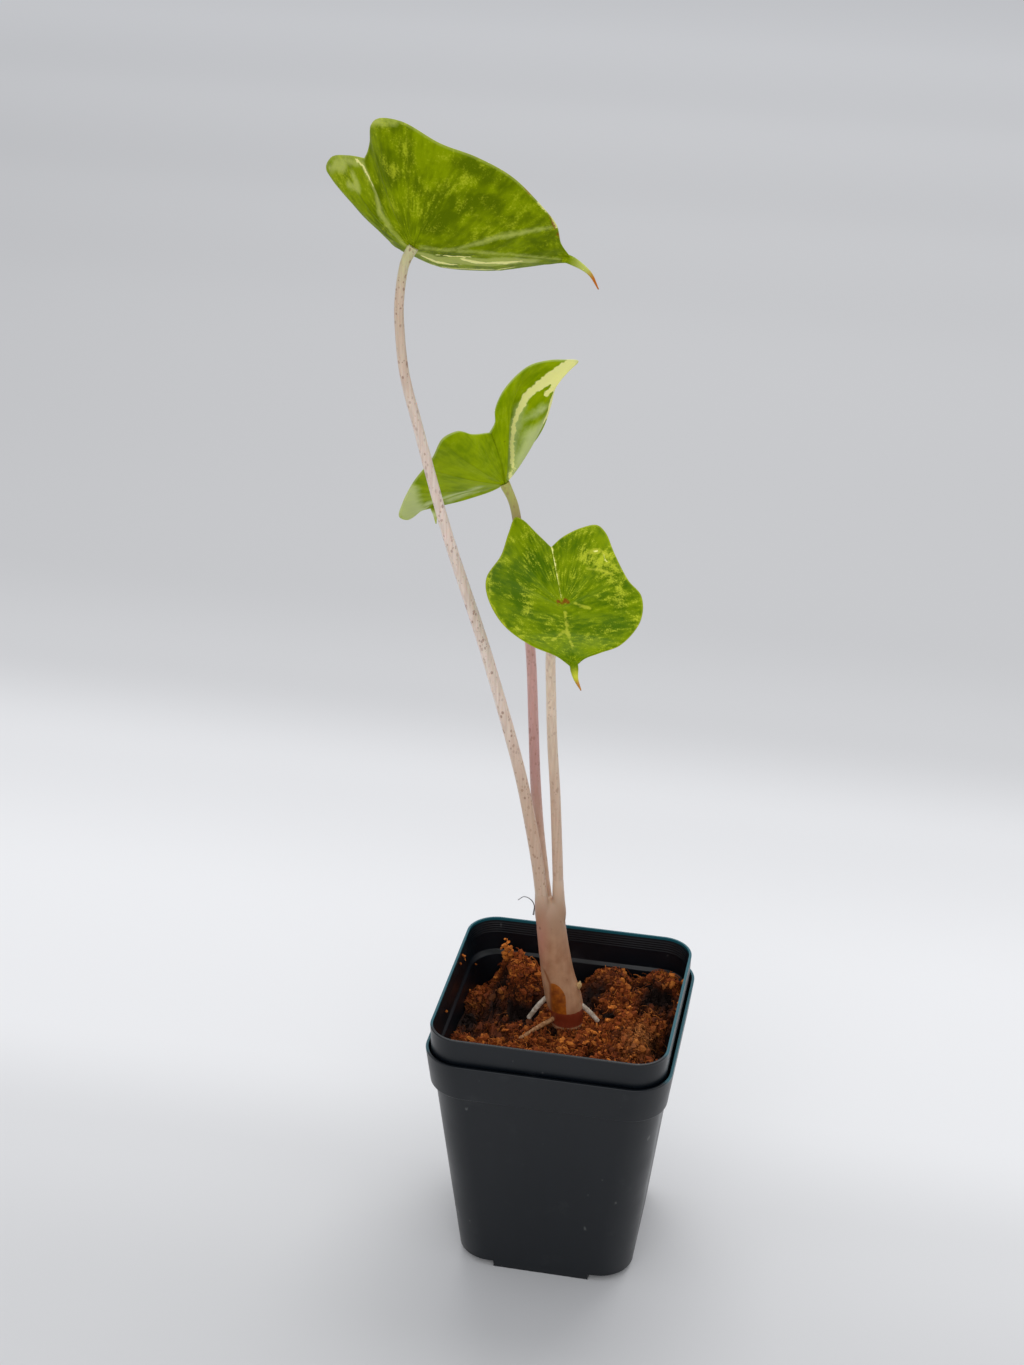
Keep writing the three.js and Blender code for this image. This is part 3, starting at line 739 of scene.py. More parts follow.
def crumb_tree(name, kind, sizes, material):
    numbers = dict(Spacing=1.0, Smallest=0.3, Largest=0.9, Rough=0.25, Clumping=0.3, Seed=1)
    tree, given = geometry_tree(name, **numbers)
    place = out_of(tree, "GeometryNodeInputPosition", {})
    per_area = math_of(tree, "DIVIDE", 1 / MM**2, product(tree, given["Spacing"], given["Spacing"]))
    patches = noise_of(tree, place, 2.0, PATCH_SCALE)
    crowd = between(tree, patches, 0.38, 0.6, given["Clumping"], 1.0)
    skewed = math_of(tree, "POWER", random_of(tree, 0.0, 1.0, 3), 2.2)
    span = math_of(tree, "SUBTRACT", given["Largest"], given["Smallest"])
    metres = product(tree, weighed(tree, skewed, span, given["Smallest"]), MM)
    squeeze = random_of(tree, (0.6, 0.4, 0.35), (1.7, 1.2, 0.95), 5)
    placed = scattered(
        tree,
        given,
        lambda on_top: product(tree, per_area, product(tree, crowd, on_top)),
        out_of(tree, kind, sizes),
        random_of(tree, (0, 0, 0), FULL_TURN, 8),
        vector_of(tree, "SCALE", {0: squeeze, 3: metres}),
    )
    tinted = stored(tree, placed, "shade", random_of(tree, 0.0, 1.0, 13), "INSTANCE")
    lift = product(tree, random_of(tree, -0.2, 0.9, 11), metres)
    offset = out_of(tree, "ShaderNodeCombineXYZ", {2: lift})
    inputs = {"Instances": tinted, "Translation": offset, "Local Space": False}
    raised = out_of(tree, "GeometryNodeTranslateInstances", inputs)
    real = out_of(tree, "GeometryNodeRealizeInstances", {0: raised})
    ragged = noise_of(tree, out_of(tree, "GeometryNodeInputPosition", {}), 2.0, RAGGED_SCALE, "Color")
    centred = vector_of(tree, "SUBTRACT", {0: ragged, 1: (0.5,) * 3})
    shift = vector_of(tree, "SCALE", {0: centred, 3: product(tree, given["Rough"], 2 * MM)})
    rough = out_of(tree, "GeometryNodeSetPosition", {"Geometry": real, "Offset": shift})
    finish_tree(tree, rough, material, smooth=False)
    return tree


LUMP_SHAPE = {"Radius": 1.0, "Subdivisions": 1}
LUMP_SIZES = dict(Spacing=0.9, Smallest=0.28, Largest=1.2, Rough=0.9, Clumping=0.3, Seed=4)
LUMPS = crumb_tree("coir lumps", "GeometryNodeMeshIcoSphere", LUMP_SHAPE, COIR)
show("coir_lumps", grown("lumps", bed.copy(), LUMPS, **LUMP_SIZES), COIR, "coir")

CHIP_SHAPE = {"Vertices": 4, "Radius Top": 0.0, "Radius Bottom": 1.0, "Depth": 1.4}
CHIP_SIZES = dict(Spacing=0.5, Smallest=0.18, Largest=0.6, Rough=0.4, Clumping=0.35, Seed=9)
CHIPS = crumb_tree("coir chips", "GeometryNodeMeshCone", CHIP_SHAPE, COIR)
show("coir_chips", grown("chips", bed.copy(), CHIPS, **CHIP_SIZES), COIR, "coir")

# %% Fibre tree
FIBRE_SINK = (-0.7 * MM, 0, 0)
FIBRE_BEND = {"Resolution": 5, "Radius": 1.0, "Sweep Angle": 1.3}


def fibre_tree(material):
    """Short bent fibres that stand and lie at random on the bed."""
    tree, given = geometry_tree("coir fibres", Crowd=0.3, Longest=3.5, Radius=0.07, Seed=1)
    arc = out_of(tree, "GeometryNodeCurveArc", FIBRE_BEND, mode="RADIUS")
    section = out_of(tree, "GeometryNodeCurvePrimitiveCircle", {"Resolution": 3, "Radius": given["Radius"]})
    length = math_of(tree, "POWER", random_of(tree, 0.25, 1.0, 23), 1.6)
    placed = scattered(
        tree,
        given,
        lambda on_top: product(tree, product(tree, given["Crowd"], 1 / MM**2), on_top),
        out_of(tree, "GeometryNodeCurveToMesh", {"Curve": arc, "Profile Curve": section}),
        random_of(tree, (0.2, -0.9, 0), (1.3, 0.9, 6.28), 21),
        product(tree, product(tree, length, given["Longest"]), MM),
    )
    sunk = out_of(tree, "GeometryNodeTranslateInstances", {"Instances": placed, "Translation": FIBRE_SINK})
    tinted = stored(tree, sunk, "shade", random_of(tree, 0.3, 1.0, 27), "INSTANCE")
    finish_tree(tree, tinted, material)
    return tree


fibres = grown("fibres", bed.copy(), fibre_tree(COIR), Crowd=0.45, Longest=2.4, Radius=0.055, Seed=3)
show("coir_fibres", fibres, COIR, "coir")

# %% Loose bits
# Each bit is (x, y, z, long radius, short radius).
CLUSTER = [
    (-22.4, 25.5, 77.4, 1.5, 1.2), (-22.8, 25.2, 79.2, 1.2, 1.0), (-22.2, 25.4, 80.8, 1.1, 0.9),
    (-23.2, 25.6, 81.8, 0.9, 0.6), (-21.4, 25.2, 81.6, 0.9, 0.6), (-22.0, 25.3, 83.0, 0.8, 0.5),
    (-20.6, 25.0, 80.4, 0.8, 0.5), (-24.0, 25.6, 80.6, 0.7, 0.4), (-22.6, 25.2, 84.2, 0.6, 0.35),
    (-21.0, 25.1, 79.0, 1.0, 0.8),
]
WALL_BITS = [
    (-33.6, 14, 83.6, 0.6, 0.4), (-33.5, 15.5, 81.5, 0.5, 0.3), (-33.6, 9, 83.8, 0.35, 0.25),
    (-33.4, -11.4, 79.9, 0.5, 0.35), (-32.6, 26.5, 73.4, 0.7, 0.4), (33.5, 17, 82.5, 0.6, 0.35),
    (33.4, 20, 80.2, 0.7, 0.5), (33.3, 23.5, 77.5, 0.9, 0.6), (33.2, 12, 78, 0.5, 0.3),
]
HUSK_CHIPS = [
    (13.4, 9.4, 74.9, 1.9, 0.6), (13.2, 2.6, 74.6, 2.1, 0.7), (16.7, -0.4, 74.4, 1.4, 0.5),
    (9.6, -3.4, 74.0, 1.2, 0.45), (1.6, -11.4, 75.0, 1.3, 0.6), (8.4, -10.4, 74.6, 1.2, 0.5),
    (19, 8, 76.6, 1.3, 0.5), (-16, -9, 74.4, 1.1, 0.45),
]
BIT_SHADE = 0.9


def loose_bits(bits, seed):
    """Single crumbs and chips at given places.

    The noise that makes them ragged takes its seed from the clock unless it is given one.
    """
    draw = np.random.default_rng(seed)
    noise.seed_set(seed)
    work = bmesh.new()
    for x, y, z, long_radius, short_radius in bits:
        turn = Euler(draw.uniform(-0.7, 0.7, 3) + (0, 0, draw.uniform(0, 3))).to_matrix().to_4x4()
        size = Matrix.Diagonal((long_radius * MM, short_radius * MM, 0.8 * short_radius * MM, 1))
        place = Matrix.Translation(Vector((x, y, z)) * MM) @ turn @ size
        bmesh.ops.create_icosphere(work, subdivisions=3, radius=1, matrix=place)
    for corner in work.verts:
        corner.co += 0.5 * MM * noise.noise_vector(corner.co / MM * 1.6)
    mesh = from_work("loose bits", work)
    return marked(mesh, shade=[BIT_SHADE] * len(mesh.vertices))


show("coir_loose_bits", loose_bits(CLUSTER + WALL_BITS + HUSK_CHIPS, 5), COIR, "coir")

# %% [markdown]
# ## The stem base
# The foot of an alocasia is a false stem: the sheaths of the stalks wrapped round one another. It is
# pinkish brown and slightly see-through, with fine lines along it, a dark red collar where it enters the
# coir, and an orange patch where an old sheath has rotted away. The solid is a loft of round sections. Here
# the same sections are joined with the lower ends of the stalks and remeshed, which turns the hard meeting
# lines into soft hollows.

# %% Stem and stalk lines
# Each section of the stem is (x, y, z, radius). The last four round it off inside the stalks.
STEM_SECTIONS = [
    (0.5, 5, 55, 3.2), (0.5, 5, 62, 3.9), (0.5, 5, 69, 4.4), (0.4, 5, 71, 4.9), (0.4, 5, 73.5, 4.9),
    (0, 5, 75.5, 5.3), (-0.9, 5, 79.5, 5.6), (-1.8, 5, 83, 5.4), (-3, 5, 88, 5), (-4.5, 5, 97, 4.6),
    (-5.4, 5, 103.5, 4.4), (-5.8, 5.1, 107.5, 4.15), (-6, 5.2, 110, 3.4), (-6.1, 5.2, 111.8, 2.3),
    (-6.2, 5.3, 113, 1),
]
TALL_STALK = dict(
    line=[
        (-7.8, 3.4, 108), (-8.3, 3.2, 114), (-9.6, 2.5, 125), (-12.4, 1.5, 141.5), (-15.5, 0, 157.5),
        (-25.5, -3, 195.5), (-36, -7.5, 232), (-43.6, -11, 263.5), (-46.6, -12.5, 277),
        (-47.6, -13.5, 288), (-47.7, -14, 297), (-46.1, -14, 307.5), (-44, -14, 311.5),
    ],
    foot=1.85, top=1.2,
)
MIDDLE_STALK = dict(
    line=[
        (-7.6, 7.4, 108), (-7.8, 7.3, 112), (-9, 8, 121), (-10.8, 9, 133.5), (-12.5, 10.5, 149),
        (-14, 12.5, 167.5), (-15.6, 15, 185.5), (-18, 17.5, 202.5), (-20.6, 19.5, 218.5),
        (-22, 20, 227.5), (-23.1, 20, 231.5), (-25.5, 20, 236.5),
    ],
    foot=1.7, top=1.25,
)
SHORT_STALK = dict(
    line=[
        (-3.3, 5.2, 108), (-3.5, 5.2, 112), (-4.6, 4.5, 133.5), (-5.5, 3.5, 150.5), (-6.6, 2.2, 167),
        (-7, -0.5, 184), (-7, -3, 196), (-6, -6, 203.5), (-3, -10, 214),
    ],
    foot=1.6, top=1.35,
)

# %% Stem finish
SHEATH_DARK = rgb(164, 116, 84)
SHEATH_LIGHT = rgb(188, 144, 110)
SHEATH_TOP = rgb(168, 133, 104)
LINE_BROWN = rgb(168, 130, 106)
FOOT_BEIGE = rgb(210, 182, 158)
BLUSH = rgb(196, 124, 108)
ROT_DARK = rgb(112, 50, 4)
ROT_ORANGE = rgb(184, 102, 20)
SCAR_BROWN = rgb(132, 74, 36)
COLLAR_RED = rgb(128, 50, 26)
BAND_TAN = rgb(200, 136, 96)
STEM_SPOT = rgb(112, 70, 48)


def stem_finish():
    material, tree, shader, place = material_of("stem skin")
    height = axis_of(tree, place, 2)
    lines = use(tree, long_lines, place, Width=1.3, Length=26.0)
    wash = clouds(tree, place, 4, 3)
    mixed = weighed(tree, lines, 0.3, product(tree, wash, 0.7))
    base = blend(tree, between(tree, mixed, 0.3, 0.7), SHEATH_DARK, SHEATH_LIGHT)
    thin = between(tree, use(tree, long_lines, place, Width=0.6, Length=16.0), 0.3, 0.7, 0.0, 0.25)
    base = blend(tree, between(tree, height, 0.094, 0.112), base, blend(tree, thin, SHEATH_TOP, LINE_BROWN))
    base = blend(tree, between(tree, height, 0.107, 0.12), base, FOOT_BEIGE)
    base = blend(tree, number(tree, "blush"), base, BLUSH)
    rough_edge = weighed(tree, clouds(tree, place, 1.0, 3), 0.5, -0.25)
    patch = between(tree, math_of(tree, "ADD", number(tree, "patch"), rough_edge), 0.42, 0.58)
    base = blend(tree, patch, base, blend(tree, between(tree, wash, 0.35, 0.65), ROT_DARK, ROT_ORANGE))
    base = blend(tree, number(tree, "scar"), base, SCAR_BROWN)
    collar = between(tree, math_of(tree, "ADD", number(tree, "collar"), rough_edge), 0.4, 0.6)
    base = blend(tree, collar, base, COLLAR_RED)
    base = blend(tree, number(tree, "band"), base, BAND_TAN)
    spots = use(tree, freckles, place, Spacing=2.2, Size=0.2, Share=0.5, Height=1.6)
    base = blend(tree, product(tree, spots, 0.55), base, STEM_SPOT)
    looks = {"Base Color": base, "Roughness": 0.45, "Normal": relief(tree, lines, 0.02)}
    fill(shader, {**looks, **flesh(0.35, (1.0, 0.45, 0.25), 1.4)})
    return material


STEM = stem_finish()
print("made", STEM.name)

# %% Stem mesh
SHEATH_START = (-5.4, 5.0, 98)
SHEATH_HEIGHTS = (107, 122)
SHEATH_EXTRA = (1.1, 0.75, 0.3, 0.02)
SCAR_LINE = [(-3.7, 76), (-4.0, 82), (-4.4, 86.6), (-5.6, 89), (-6.8, 91)]
SCAR_SPREAD = 0.455
STEM_RINGS = 120
STEM_SIDES = 48
VOXEL = 0.32
SMOOTH_ROUNDS = 20


def tube(line, radii, rings, sides):
    """Points and faces of a tapered tube along a smooth line."""
    shares = np.linspace(0, 1, rings)
    centres = evenly(line, shares)
    radii = np.interp(shares, np.linspace(0, 1, len(radii)), radii)
    ahead = np.gradient(centres, axis=0)
    ahead /= np.linalg.norm(ahead, axis=1)[:, None]
    side = np.cross(ahead, (0.3, 1.0, 0.1))
    side /= np.linalg.norm(side, axis=1)[:, None]
    back = np.cross(ahead, side)
    turns = np.linspace(0, 2 * math.pi, sides, endpoint=False)
    made = []
    for centre, radius, a, b in zip(centres, radii, side, back):
        made.append(centre + radius * (np.outer(np.cos(turns), a) + np.outer(np.sin(turns), b)))
    return loft(made)


def joined(*shells):
    points, faces = [], []
    for some_points, some_faces in shells:
        base = len(points)
        points += list(some_points)
        faces += [[corner + base for corner in face] for face in some_faces]
    return points, faces


def lower_part(stalk):
    """The lower end of a stalk with a sheath that thins out at its top."""
    dense = evenly(stalk["line"], np.linspace(0, 1, 200))
    low, high = SHEATH_HEIGHTS
    line = [SHEATH_START, *dense[(dense[:, 2] > low) & (dense[:, 2] < high)][::8]]
    return tube(line, [stalk["foot"] + extra for extra in SHEATH_EXTRA], 30, 20)


def stem_mesh():
    sections = curve_at(STEM_SECTIONS, np.linspace(0, 1, STEM_RINGS))
    turns = np.linspace(0, 2 * math.pi, STEM_SIDES, endpoint=False)
    around = np.column_stack([np.cos(turns), np.sin(turns), np.zeros(STEM_SIDES)])
    rings = [np.array((x, y, z)) + max(radius, 0.3) * around for x, y, z, radius in sections]
    lower_ends = [lower_part(stalk) for stalk in (TALL_STALK, MIDDLE_STALK, SHORT_STALK)]
    maker = object_of("stem being joined", mesh_of("stem", *joined(loft(rings), *lower_ends)))
    remesh = maker.modifiers.new("remesh", "REMESH")
    remesh.mode = "VOXEL"
    remesh.voxel_size = VOXEL * MM
    smooth = maker.modifiers.new("smooth", "SMOOTH")
    smooth.factor = 0.5
    smooth.iterations = SMOOTH_ROUNDS
    return baked(maker)


def window(value, low, high, low_edge, high_edge):
    """1 between low and high, with an edge of its own width on either side."""
    return soft_step(value, low, low + low_edge) * (1 - soft_step(value, high, high + high_edge))


def stem_marks(x, y, z):
    """The stem's marks: orange patch, scar, collar, the band below it and blush."""
    front = 1 - soft_step(y, 3.5, 5.5)
    left_edge = np.interp(z, (76, 86.6), (-3.7, -4.2))
    right_edge = np.interp(z, (76, 87), (1.1, 0.1))
    top_edge = 86.9 - 0.3 * np.maximum(x + 3.2, 0) ** 2
    across = soft_step(x - left_edge, -0.3, 0.3) * soft_step(right_edge - x, -0.3, 0.3)
    scar_x, scar_z = np.array(SCAR_LINE).T
    scar = bump(x, np.interp(z, scar_z, scar_x), SCAR_SPREAD)
    return {
        "patch": front * across * soft_step(z, 75.8, 76.8) * soft_step(top_edge - z, -0.3, 0.3),
        "scar": 0.9 * front * scar * window(z, 76, 90, 1, 1.5),
        "collar": window(z, 71.2, 76.2, 0.8, 1),
        "band": 0.8 * bump(z, 70.8, 0.6),
        "blush": 0.5 * bump(z, 100, 9) * soft_step(-x, 4, 8),
    }


stem = stem_mesh()
show("stem_sheaths", marked(stem, **stem_marks(*places_of(stem))), STEM, "stem", "stem_base")

# %% [markdown]
# ## The leaf stalks
# Each stalk is a long tapered round shoot: pale beige with brown freckles, one of them pink, and greener
# towards the blade. A tube along a path is a rule, so a Geometry Nodes tree draws it: it resamples the
# line, sets the radius from foot to top, widens it a little where it carries the blade, and keeps how far
# along it each point is.

# %% Stalk finish
STALK_SPOT = rgb(136, 84, 60)


def stalk_finish(name, foot, middle, upper, top, upper_from, green_from, freckled):
    """Four colours from foot to top. The upper ones start at shares of the length."""
    material, tree, shader, place = material_of(name)
    along = number(tree, "along")
    height = axis_of(tree, place, 2)
    lines = use(tree, long_lines, place, Width=0.6, Length=16.0)
    base = blend(tree, between(tree, height, 0.12, 0.16), FOOT_BEIGE, foot)
    base = blend(tree, between(tree, height, 0.14, 0.19), base, middle)
    base = blend(tree, between(tree, along, upper_from, upper_from + 0.2), base, upper)
    base = blend(tree, between(tree, along, green_from, 1.0), base, top)
    base = blend(tree, between(tree, lines, 0.3, 0.7, 0.0, 0.3), base, LINE_BROWN)
    small = use(tree, freckles, place, Spacing=0.9, Size=0.46, Share=0.8, Height=1.4)
    large = use(tree, freckles, place, Spacing=2.4, Size=0.27, Share=0.4, Height=1.7)
    crowd = between(tree, clouds(tree, place, 7, 2), 0.4, 0.6, 0.45, 1.0)
    spots = math_of(tree, "MAXIMUM", product(tree, small, 0.6), product(tree, large, 0.75))
    base = blend(tree, product(tree, product(tree, spots, crowd), freckled), base, STALK_SPOT)
    looks = {"Base Color": base, "Roughness": 0.4, "Normal": relief(tree, lines, 0.03)}
    fill(shader, {**looks, **flesh(0.35, (1.0, 0.55, 0.35), 1.2)})
    return material


# %% Stalk tree
LINE_POINTS = 160
FLARE_START = 0.965


def stalk_tree(material):
    numbers = dict(Foot=1.8, Top=1.2, Flare=0.2, Rings=120, Sides=20)
    tree, given = geometry_tree(f"stalk of {material.name}", **numbers)
    line = out_of(tree, "GeometryNodeMeshToCurve", {0: given["Geometry"]})
    even = out_of(tree, "GeometryNodeResampleCurve", {"Curve": line, "Count": given["Rings"]})
    share = node(tree, "GeometryNodeSplineParameter", {}).outputs["Factor"]
    kept = stored(tree, even, "along", share, "POINT")
    inputs = {"Value": share, 1: 0.0, 2: 1.0, 3: given["Foot"], 4: given["Top"]}
    taper = out_of(tree, "ShaderNodeMapRange", inputs)
    flare = product(tree, between(tree, share, FLARE_START, 1.0), given["Flare"])
    radius = product(tree, math_of(tree, "ADD", taper, flare), MM)
    sized = out_of(tree, "GeometryNodeSetCurveRadius", {"Curve": kept, "Radius": radius})
    inputs = {"Resolution": given["Sides"], "Radius": 1.0}
    section = out_of(tree, "GeometryNodeCurvePrimitiveCircle", inputs)
    inputs = {"Curve": sized, "Profile Curve": section, "Fill Caps": True}
    skin = node(tree, "GeometryNodeCurveToMesh", inputs)
    if "Scale" in skin.inputs:
        fill(skin, {"Scale": out_of(tree, "GeometryNodeInputRadius", {})})
    finish_tree(tree, skin.outputs[0], material)
    return tree


def line_mesh(line):
    mesh = bpy.data.meshes.new("line")
    points = evenly(line, np.linspace(0, 1, LINE_POINTS)) * MM
    mesh.from_pydata(points.tolist(), [(k, k + 1) for k in range(LINE_POINTS - 1)], [])
    return mesh


PALE_STALK = stalk_finish(
    "pale stalk",
    foot=FOOT_BEIGE,
    middle=rgb(240, 223, 209),
    upper=rgb(218, 196, 172),
    top=rgb(206, 206, 150),
    upper_from=0.72,
    green_from=0.93,
    freckled=1.0,
)
PINK_STALK = stalk_finish(
    "pink stalk",
    foot=rgb(188, 142, 138),
    middle=rgb(218, 172, 166),
    upper=rgb(150, 120, 92),
    top=rgb(186, 188, 96),
    upper_from=0.66,
    green_from=0.86,
    freckled=0.6,
)
BEIGE_STALK = stalk_finish(
    "beige stalk",
    foot=FOOT_BEIGE,
    middle=rgb(234, 217, 193),
    upper=rgb(240, 218, 192),
    top=rgb(176, 186, 96),
    upper_from=0.55,
    green_from=0.87,
    freckled=0.5,
)
STALKS = [
    ("tall", TALL_STALK, PALE_STALK, "stalk_pale"),
    ("middle", MIDDLE_STALK, PINK_STALK, "stalk_pink"),
    ("short", SHORT_STALK, BEIGE_STALK, "stalk_pale"),
]
for name, stalk, material, slot in STALKS:
    tree = stalk_tree(material)
    mesh = grown(name, line_mesh(stalk["line"]), tree, Foot=stalk["foot"], Top=stalk["top"], Flare=0.25)
    show(f"stalk_{name}", mesh, material, slot, f"petiole_{name}")

# %% [markdown]
# ## The leaf blades
# A blade is a shallow heart on its stalk: two lobes at the back, a midrib to the drip tip, and side veins
# that leave the seat and the midrib and run out to the edge. The solid is built from just such rows, from
# the seat or the midrib to the edge, so a row is also a vein. The same rule is used here with many more
# rows. It adds the veins, the soft swelling between them and a thin edge, and puts on each point what the
# finish needs to know.

# %% Blade outlines
# All points are measured from the seat, where the stalk meets the blade. The far and the near edge start
# beside the sinus, the notch between the two lobes.
TALL_BLADE = dict(
    vein_height=0.16, seat=(-44, -14, 311.5), up=(0.18, 0.75, 0.63), bowl=1.5, sinus=(-13.5, 4.5, 20.5),
    midrib=[(13.5, 4.5, -1.5), (26.5, 10.5, -3), (37, 17, -5)], tail=[(42.5, 18, -8.5), (45, 19, -13)],
    far=[
        (-20, 10.5, 19.5), (-25.5, 15.5, 17.5), (-27.5, 18, 13.5), (-23, 20, 7.5), (-16, 21.5, -0.5),
        (-8, 25, -8), (0, 28, -12.5), (13, 28.5, -13), (25.5, 25, -10), (32.5, 21.5, -7.5),
        (37.5, 18, -6),
    ],
    near=[
        (-12, 2.5, 25), (-10.5, -2, 30.5), (-7.5, -5, 33), (-2, -5, 32.5), (8, -6, 28), (17, -5, 25),
        (25.5, -3.5, 20.5), (32, 1, 13), (35.5, 6.5, 6.5), (36, 11.5, 0.5), (37.5, 16.5, -4),
    ],
)
MIDDLE_BLADE = dict(
    vein_height=0.1, seat=(-25.5, 20, 236.5), up=(-0.63, 0.46, 0.63), bowl=1.5,
    bow=dict(at=0.28, spread=0.1, by=(-8, 0.5, 4)), sinus=(-3, -8, 17.5),
    midrib=[(-9.5, 6, -5), (-20, 13, -10), (-24, 17.5, -16)], tail=[(-24, 19, -19), (-24, 20.5, -22.5)],
    far=[
        (-1.6, -8, 20.5), (-1.5, -8.5, 24.5), (1, -8, 30.5), (6.5, -4.5, 36), (11.5, -1.5, 37.2),
        (15.5, 0.2, 37.2), (19.3, 2, 36.6), (16.8, 2.1, 33.5), (13.5, 2, 29), (11, 8, 21),
        (7, 16.5, 10), (0, 21, -1), (-4.5, 22, -9), (-14.5, 22.5, -14.5), (-23, 17.5, -16),
    ],
    near=[
        (-5.5, -20, 21), (-8, -27, 24), (-11, -30, 23), (-15.5, -24, 14.5), (-22.5, -15.5, 4),
        (-27, -9.5, -5), (-29, -5, -11), (-27.5, -0.5, -13.5), (-26, 7.5, -14), (-25, 16, -16),
    ],
)
SHORT_BLADE = dict(
    vein_height=0.05, seat=(-3, -10, 214), up=(0.35, -0.45, 0.82), bowl=1.3, sinus=(-6, 13.5, 11.5),
    midrib=[(2, -6.5, -4.5), (4.5, -13, -7), (6, -15.5, -9.5)], tail=[(7, -18, -12), (9, -21, -14)],
    far=[
        (-10.5, 14.5, 15), (-14.5, 15.5, 18), (-16.5, 15.5, 18.5), (-17.5, 11, 15.5), (-18, 4, 12),
        (-20, -6.5, 9), (-18, -12.5, 5.5), (-13, -16.5, 0.5), (-5.5, -17.5, -4), (1.5, -16.5, -7),
        (5.5, -16, -10),
    ],
    near=[
        (-3.5, 16.5, 13.5), (1, 21, 15), (5, 24, 15), (7.5, 23, 13.5), (11, 18, 9.5), (16, 12, 4.5),
        (20, 9.5, 1.5), (21, 3.5, -3), (17, -5, -7), (12, -9.5, -8), (8.5, -13, -8.5),
        (6.5, -15.4, -9.9),
    ],
)

# %% Blade surface
ROWS = 200
CELLS = 44
MIDRIB_START = 0.5
BLADE_THICKNESS = 0.55
RIB_KEEL = 0.75
RIB_HALF_WIDTH = 0.8
VEINS = 7
VEIN_HALF_WIDTH = 0.38
SWELLING = 0.22
MARK_REACH = 2.0
TAIL_RADII = (1.2, 1.1, 0.7, 0.42, 0.16)
TAIL_RINGS = 22
TAIL_SIDES = 12
FAR, NEAR = 0, 1


def blade_grid(leaf):
    """The middle surface as a grid of side, row and cell. A row runs from seat or midrib to the edge."""
    shares = np.arange(ROWS + 1) / ROWS
    ribs = evenly([(0, 0, 0), *leaf["midrib"]], np.clip((shares - MIDRIB_START) / (1 - MIDRIB_START), 0, 1))
    rise = np.array(leaf["up"]) / np.linalg.norm(leaf["up"])
    across = np.arange(CELLS + 1) / CELLS
    grid = np.empty((2, ROWS + 1, CELLS + 1, 3))
    for side, edge in ((FAR, leaf["far"]), (NEAR, leaf["near"])):
        reach = evenly([leaf["sinus"], *edge], shares) - ribs
        sag = (reach @ rise)[:, None] * (across - across ** leaf["bowl"])
        grid[side] = ribs[:, None] + reach[:, None] * across[:, None] - sag[..., None] * rise
    if "bow" in leaf:
        bow = leaf["bow"]
        nearness = bump(shares, bow["at"], bow["spread"])[:, None] * 4 * across * (1 - across)
        grid[FAR] += nearness[..., None] * np.array(bow["by"])
    return grid, rise


def grid_index():
    """The number of each point of the grid. Both sides share the seat, the midrib and the sinus line."""
    half = int(ROWS * MIDRIB_START)
    index = np.zeros((2, ROWS + 1, CELLS + 1), int)
    index[:, half:, 0] = np.arange(ROWS + 1 - half)
    count = ROWS + 1 - half
    index[:, 0, 1:] = np.arange(CELLS) + count
    count += CELLS
    rest = ROWS * CELLS
    index[FAR, 1:, 1:] = (np.arange(rest) + count).reshape(ROWS, CELLS)
    index[NEAR, 1:, 1:] = (np.arange(rest) + count + rest).reshape(ROWS, CELLS)
    return index, count + 2 * rest


def vein_field(row, cell, reach):
    """How near each point of the grid is to a side vein, and how it swells between two of them."""
    phase = VEINS * (row + 0.05 * cell**2 * (1 - row)) * (1 - 0.1 * cell)
    apart = np.abs(phase - np.round(phase)) / VEINS * 2.2 * reach * (0.25 + cell)
    on_vein = bump(apart, 0, VEIN_HALF_WIDTH) * window(cell, 0.0, 0.82, 0.08, 0.15)
    swell = (0.5 - 0.5 * np.cos(2 * math.pi * phase)) * 4 * cell * (1 - cell)
    return on_vein, swell


def rib_field(row, cell, reach):
    """How near each point of the grid is to the midrib, or to the seam below the sinus."""
    along_midrib = soft_step(row, MIDRIB_START - 0.02, MIDRIB_START + 0.02)
    on_rib = bump(cell * reach, 0, RIB_HALF_WIDTH) * along_midrib * (1 - 0.7 * row)
    seam = bump(row * reach * 2.0, 0, RIB_HALF_WIDTH) * 0.6
    return np.maximum(on_rib, seam * soft_step(cell * reach, 0.0, 1.0))


def drawn(strokes, side, grid):
    """How deep each point of one side lies in some strokes.

    That is MARK_REACH on a stroke's edge, more inside and 0 far off. A stroke is (side, [(row, cell, half
    width in mm), ...]), a line on the blade that widens and narrows.
    """
    spots = grid[side]
    deepest = np.zeros(spots.shape[:2])
    for places in (places for on_side, places in strokes if on_side == side):
        line = [spots[round(row * ROWS), round(cell * CELLS)] for row, cell, width in places]
        widths = [width for row, cell, width in places]
        for a, b, start, end in zip(line, line[1:], widths, widths[1:]):
            ahead = b - a
            along = np.clip(((spots - a) @ ahead) / (ahead @ ahead), 0, 1)
            away = np.linalg.norm(spots - a - along[..., None] * ahead, axis=-1)
            deepest = np.maximum(deepest, start + (end - start) * along - away + MARK_REACH)
    return np.clip(deepest, 0, 2 * MARK_REACH)


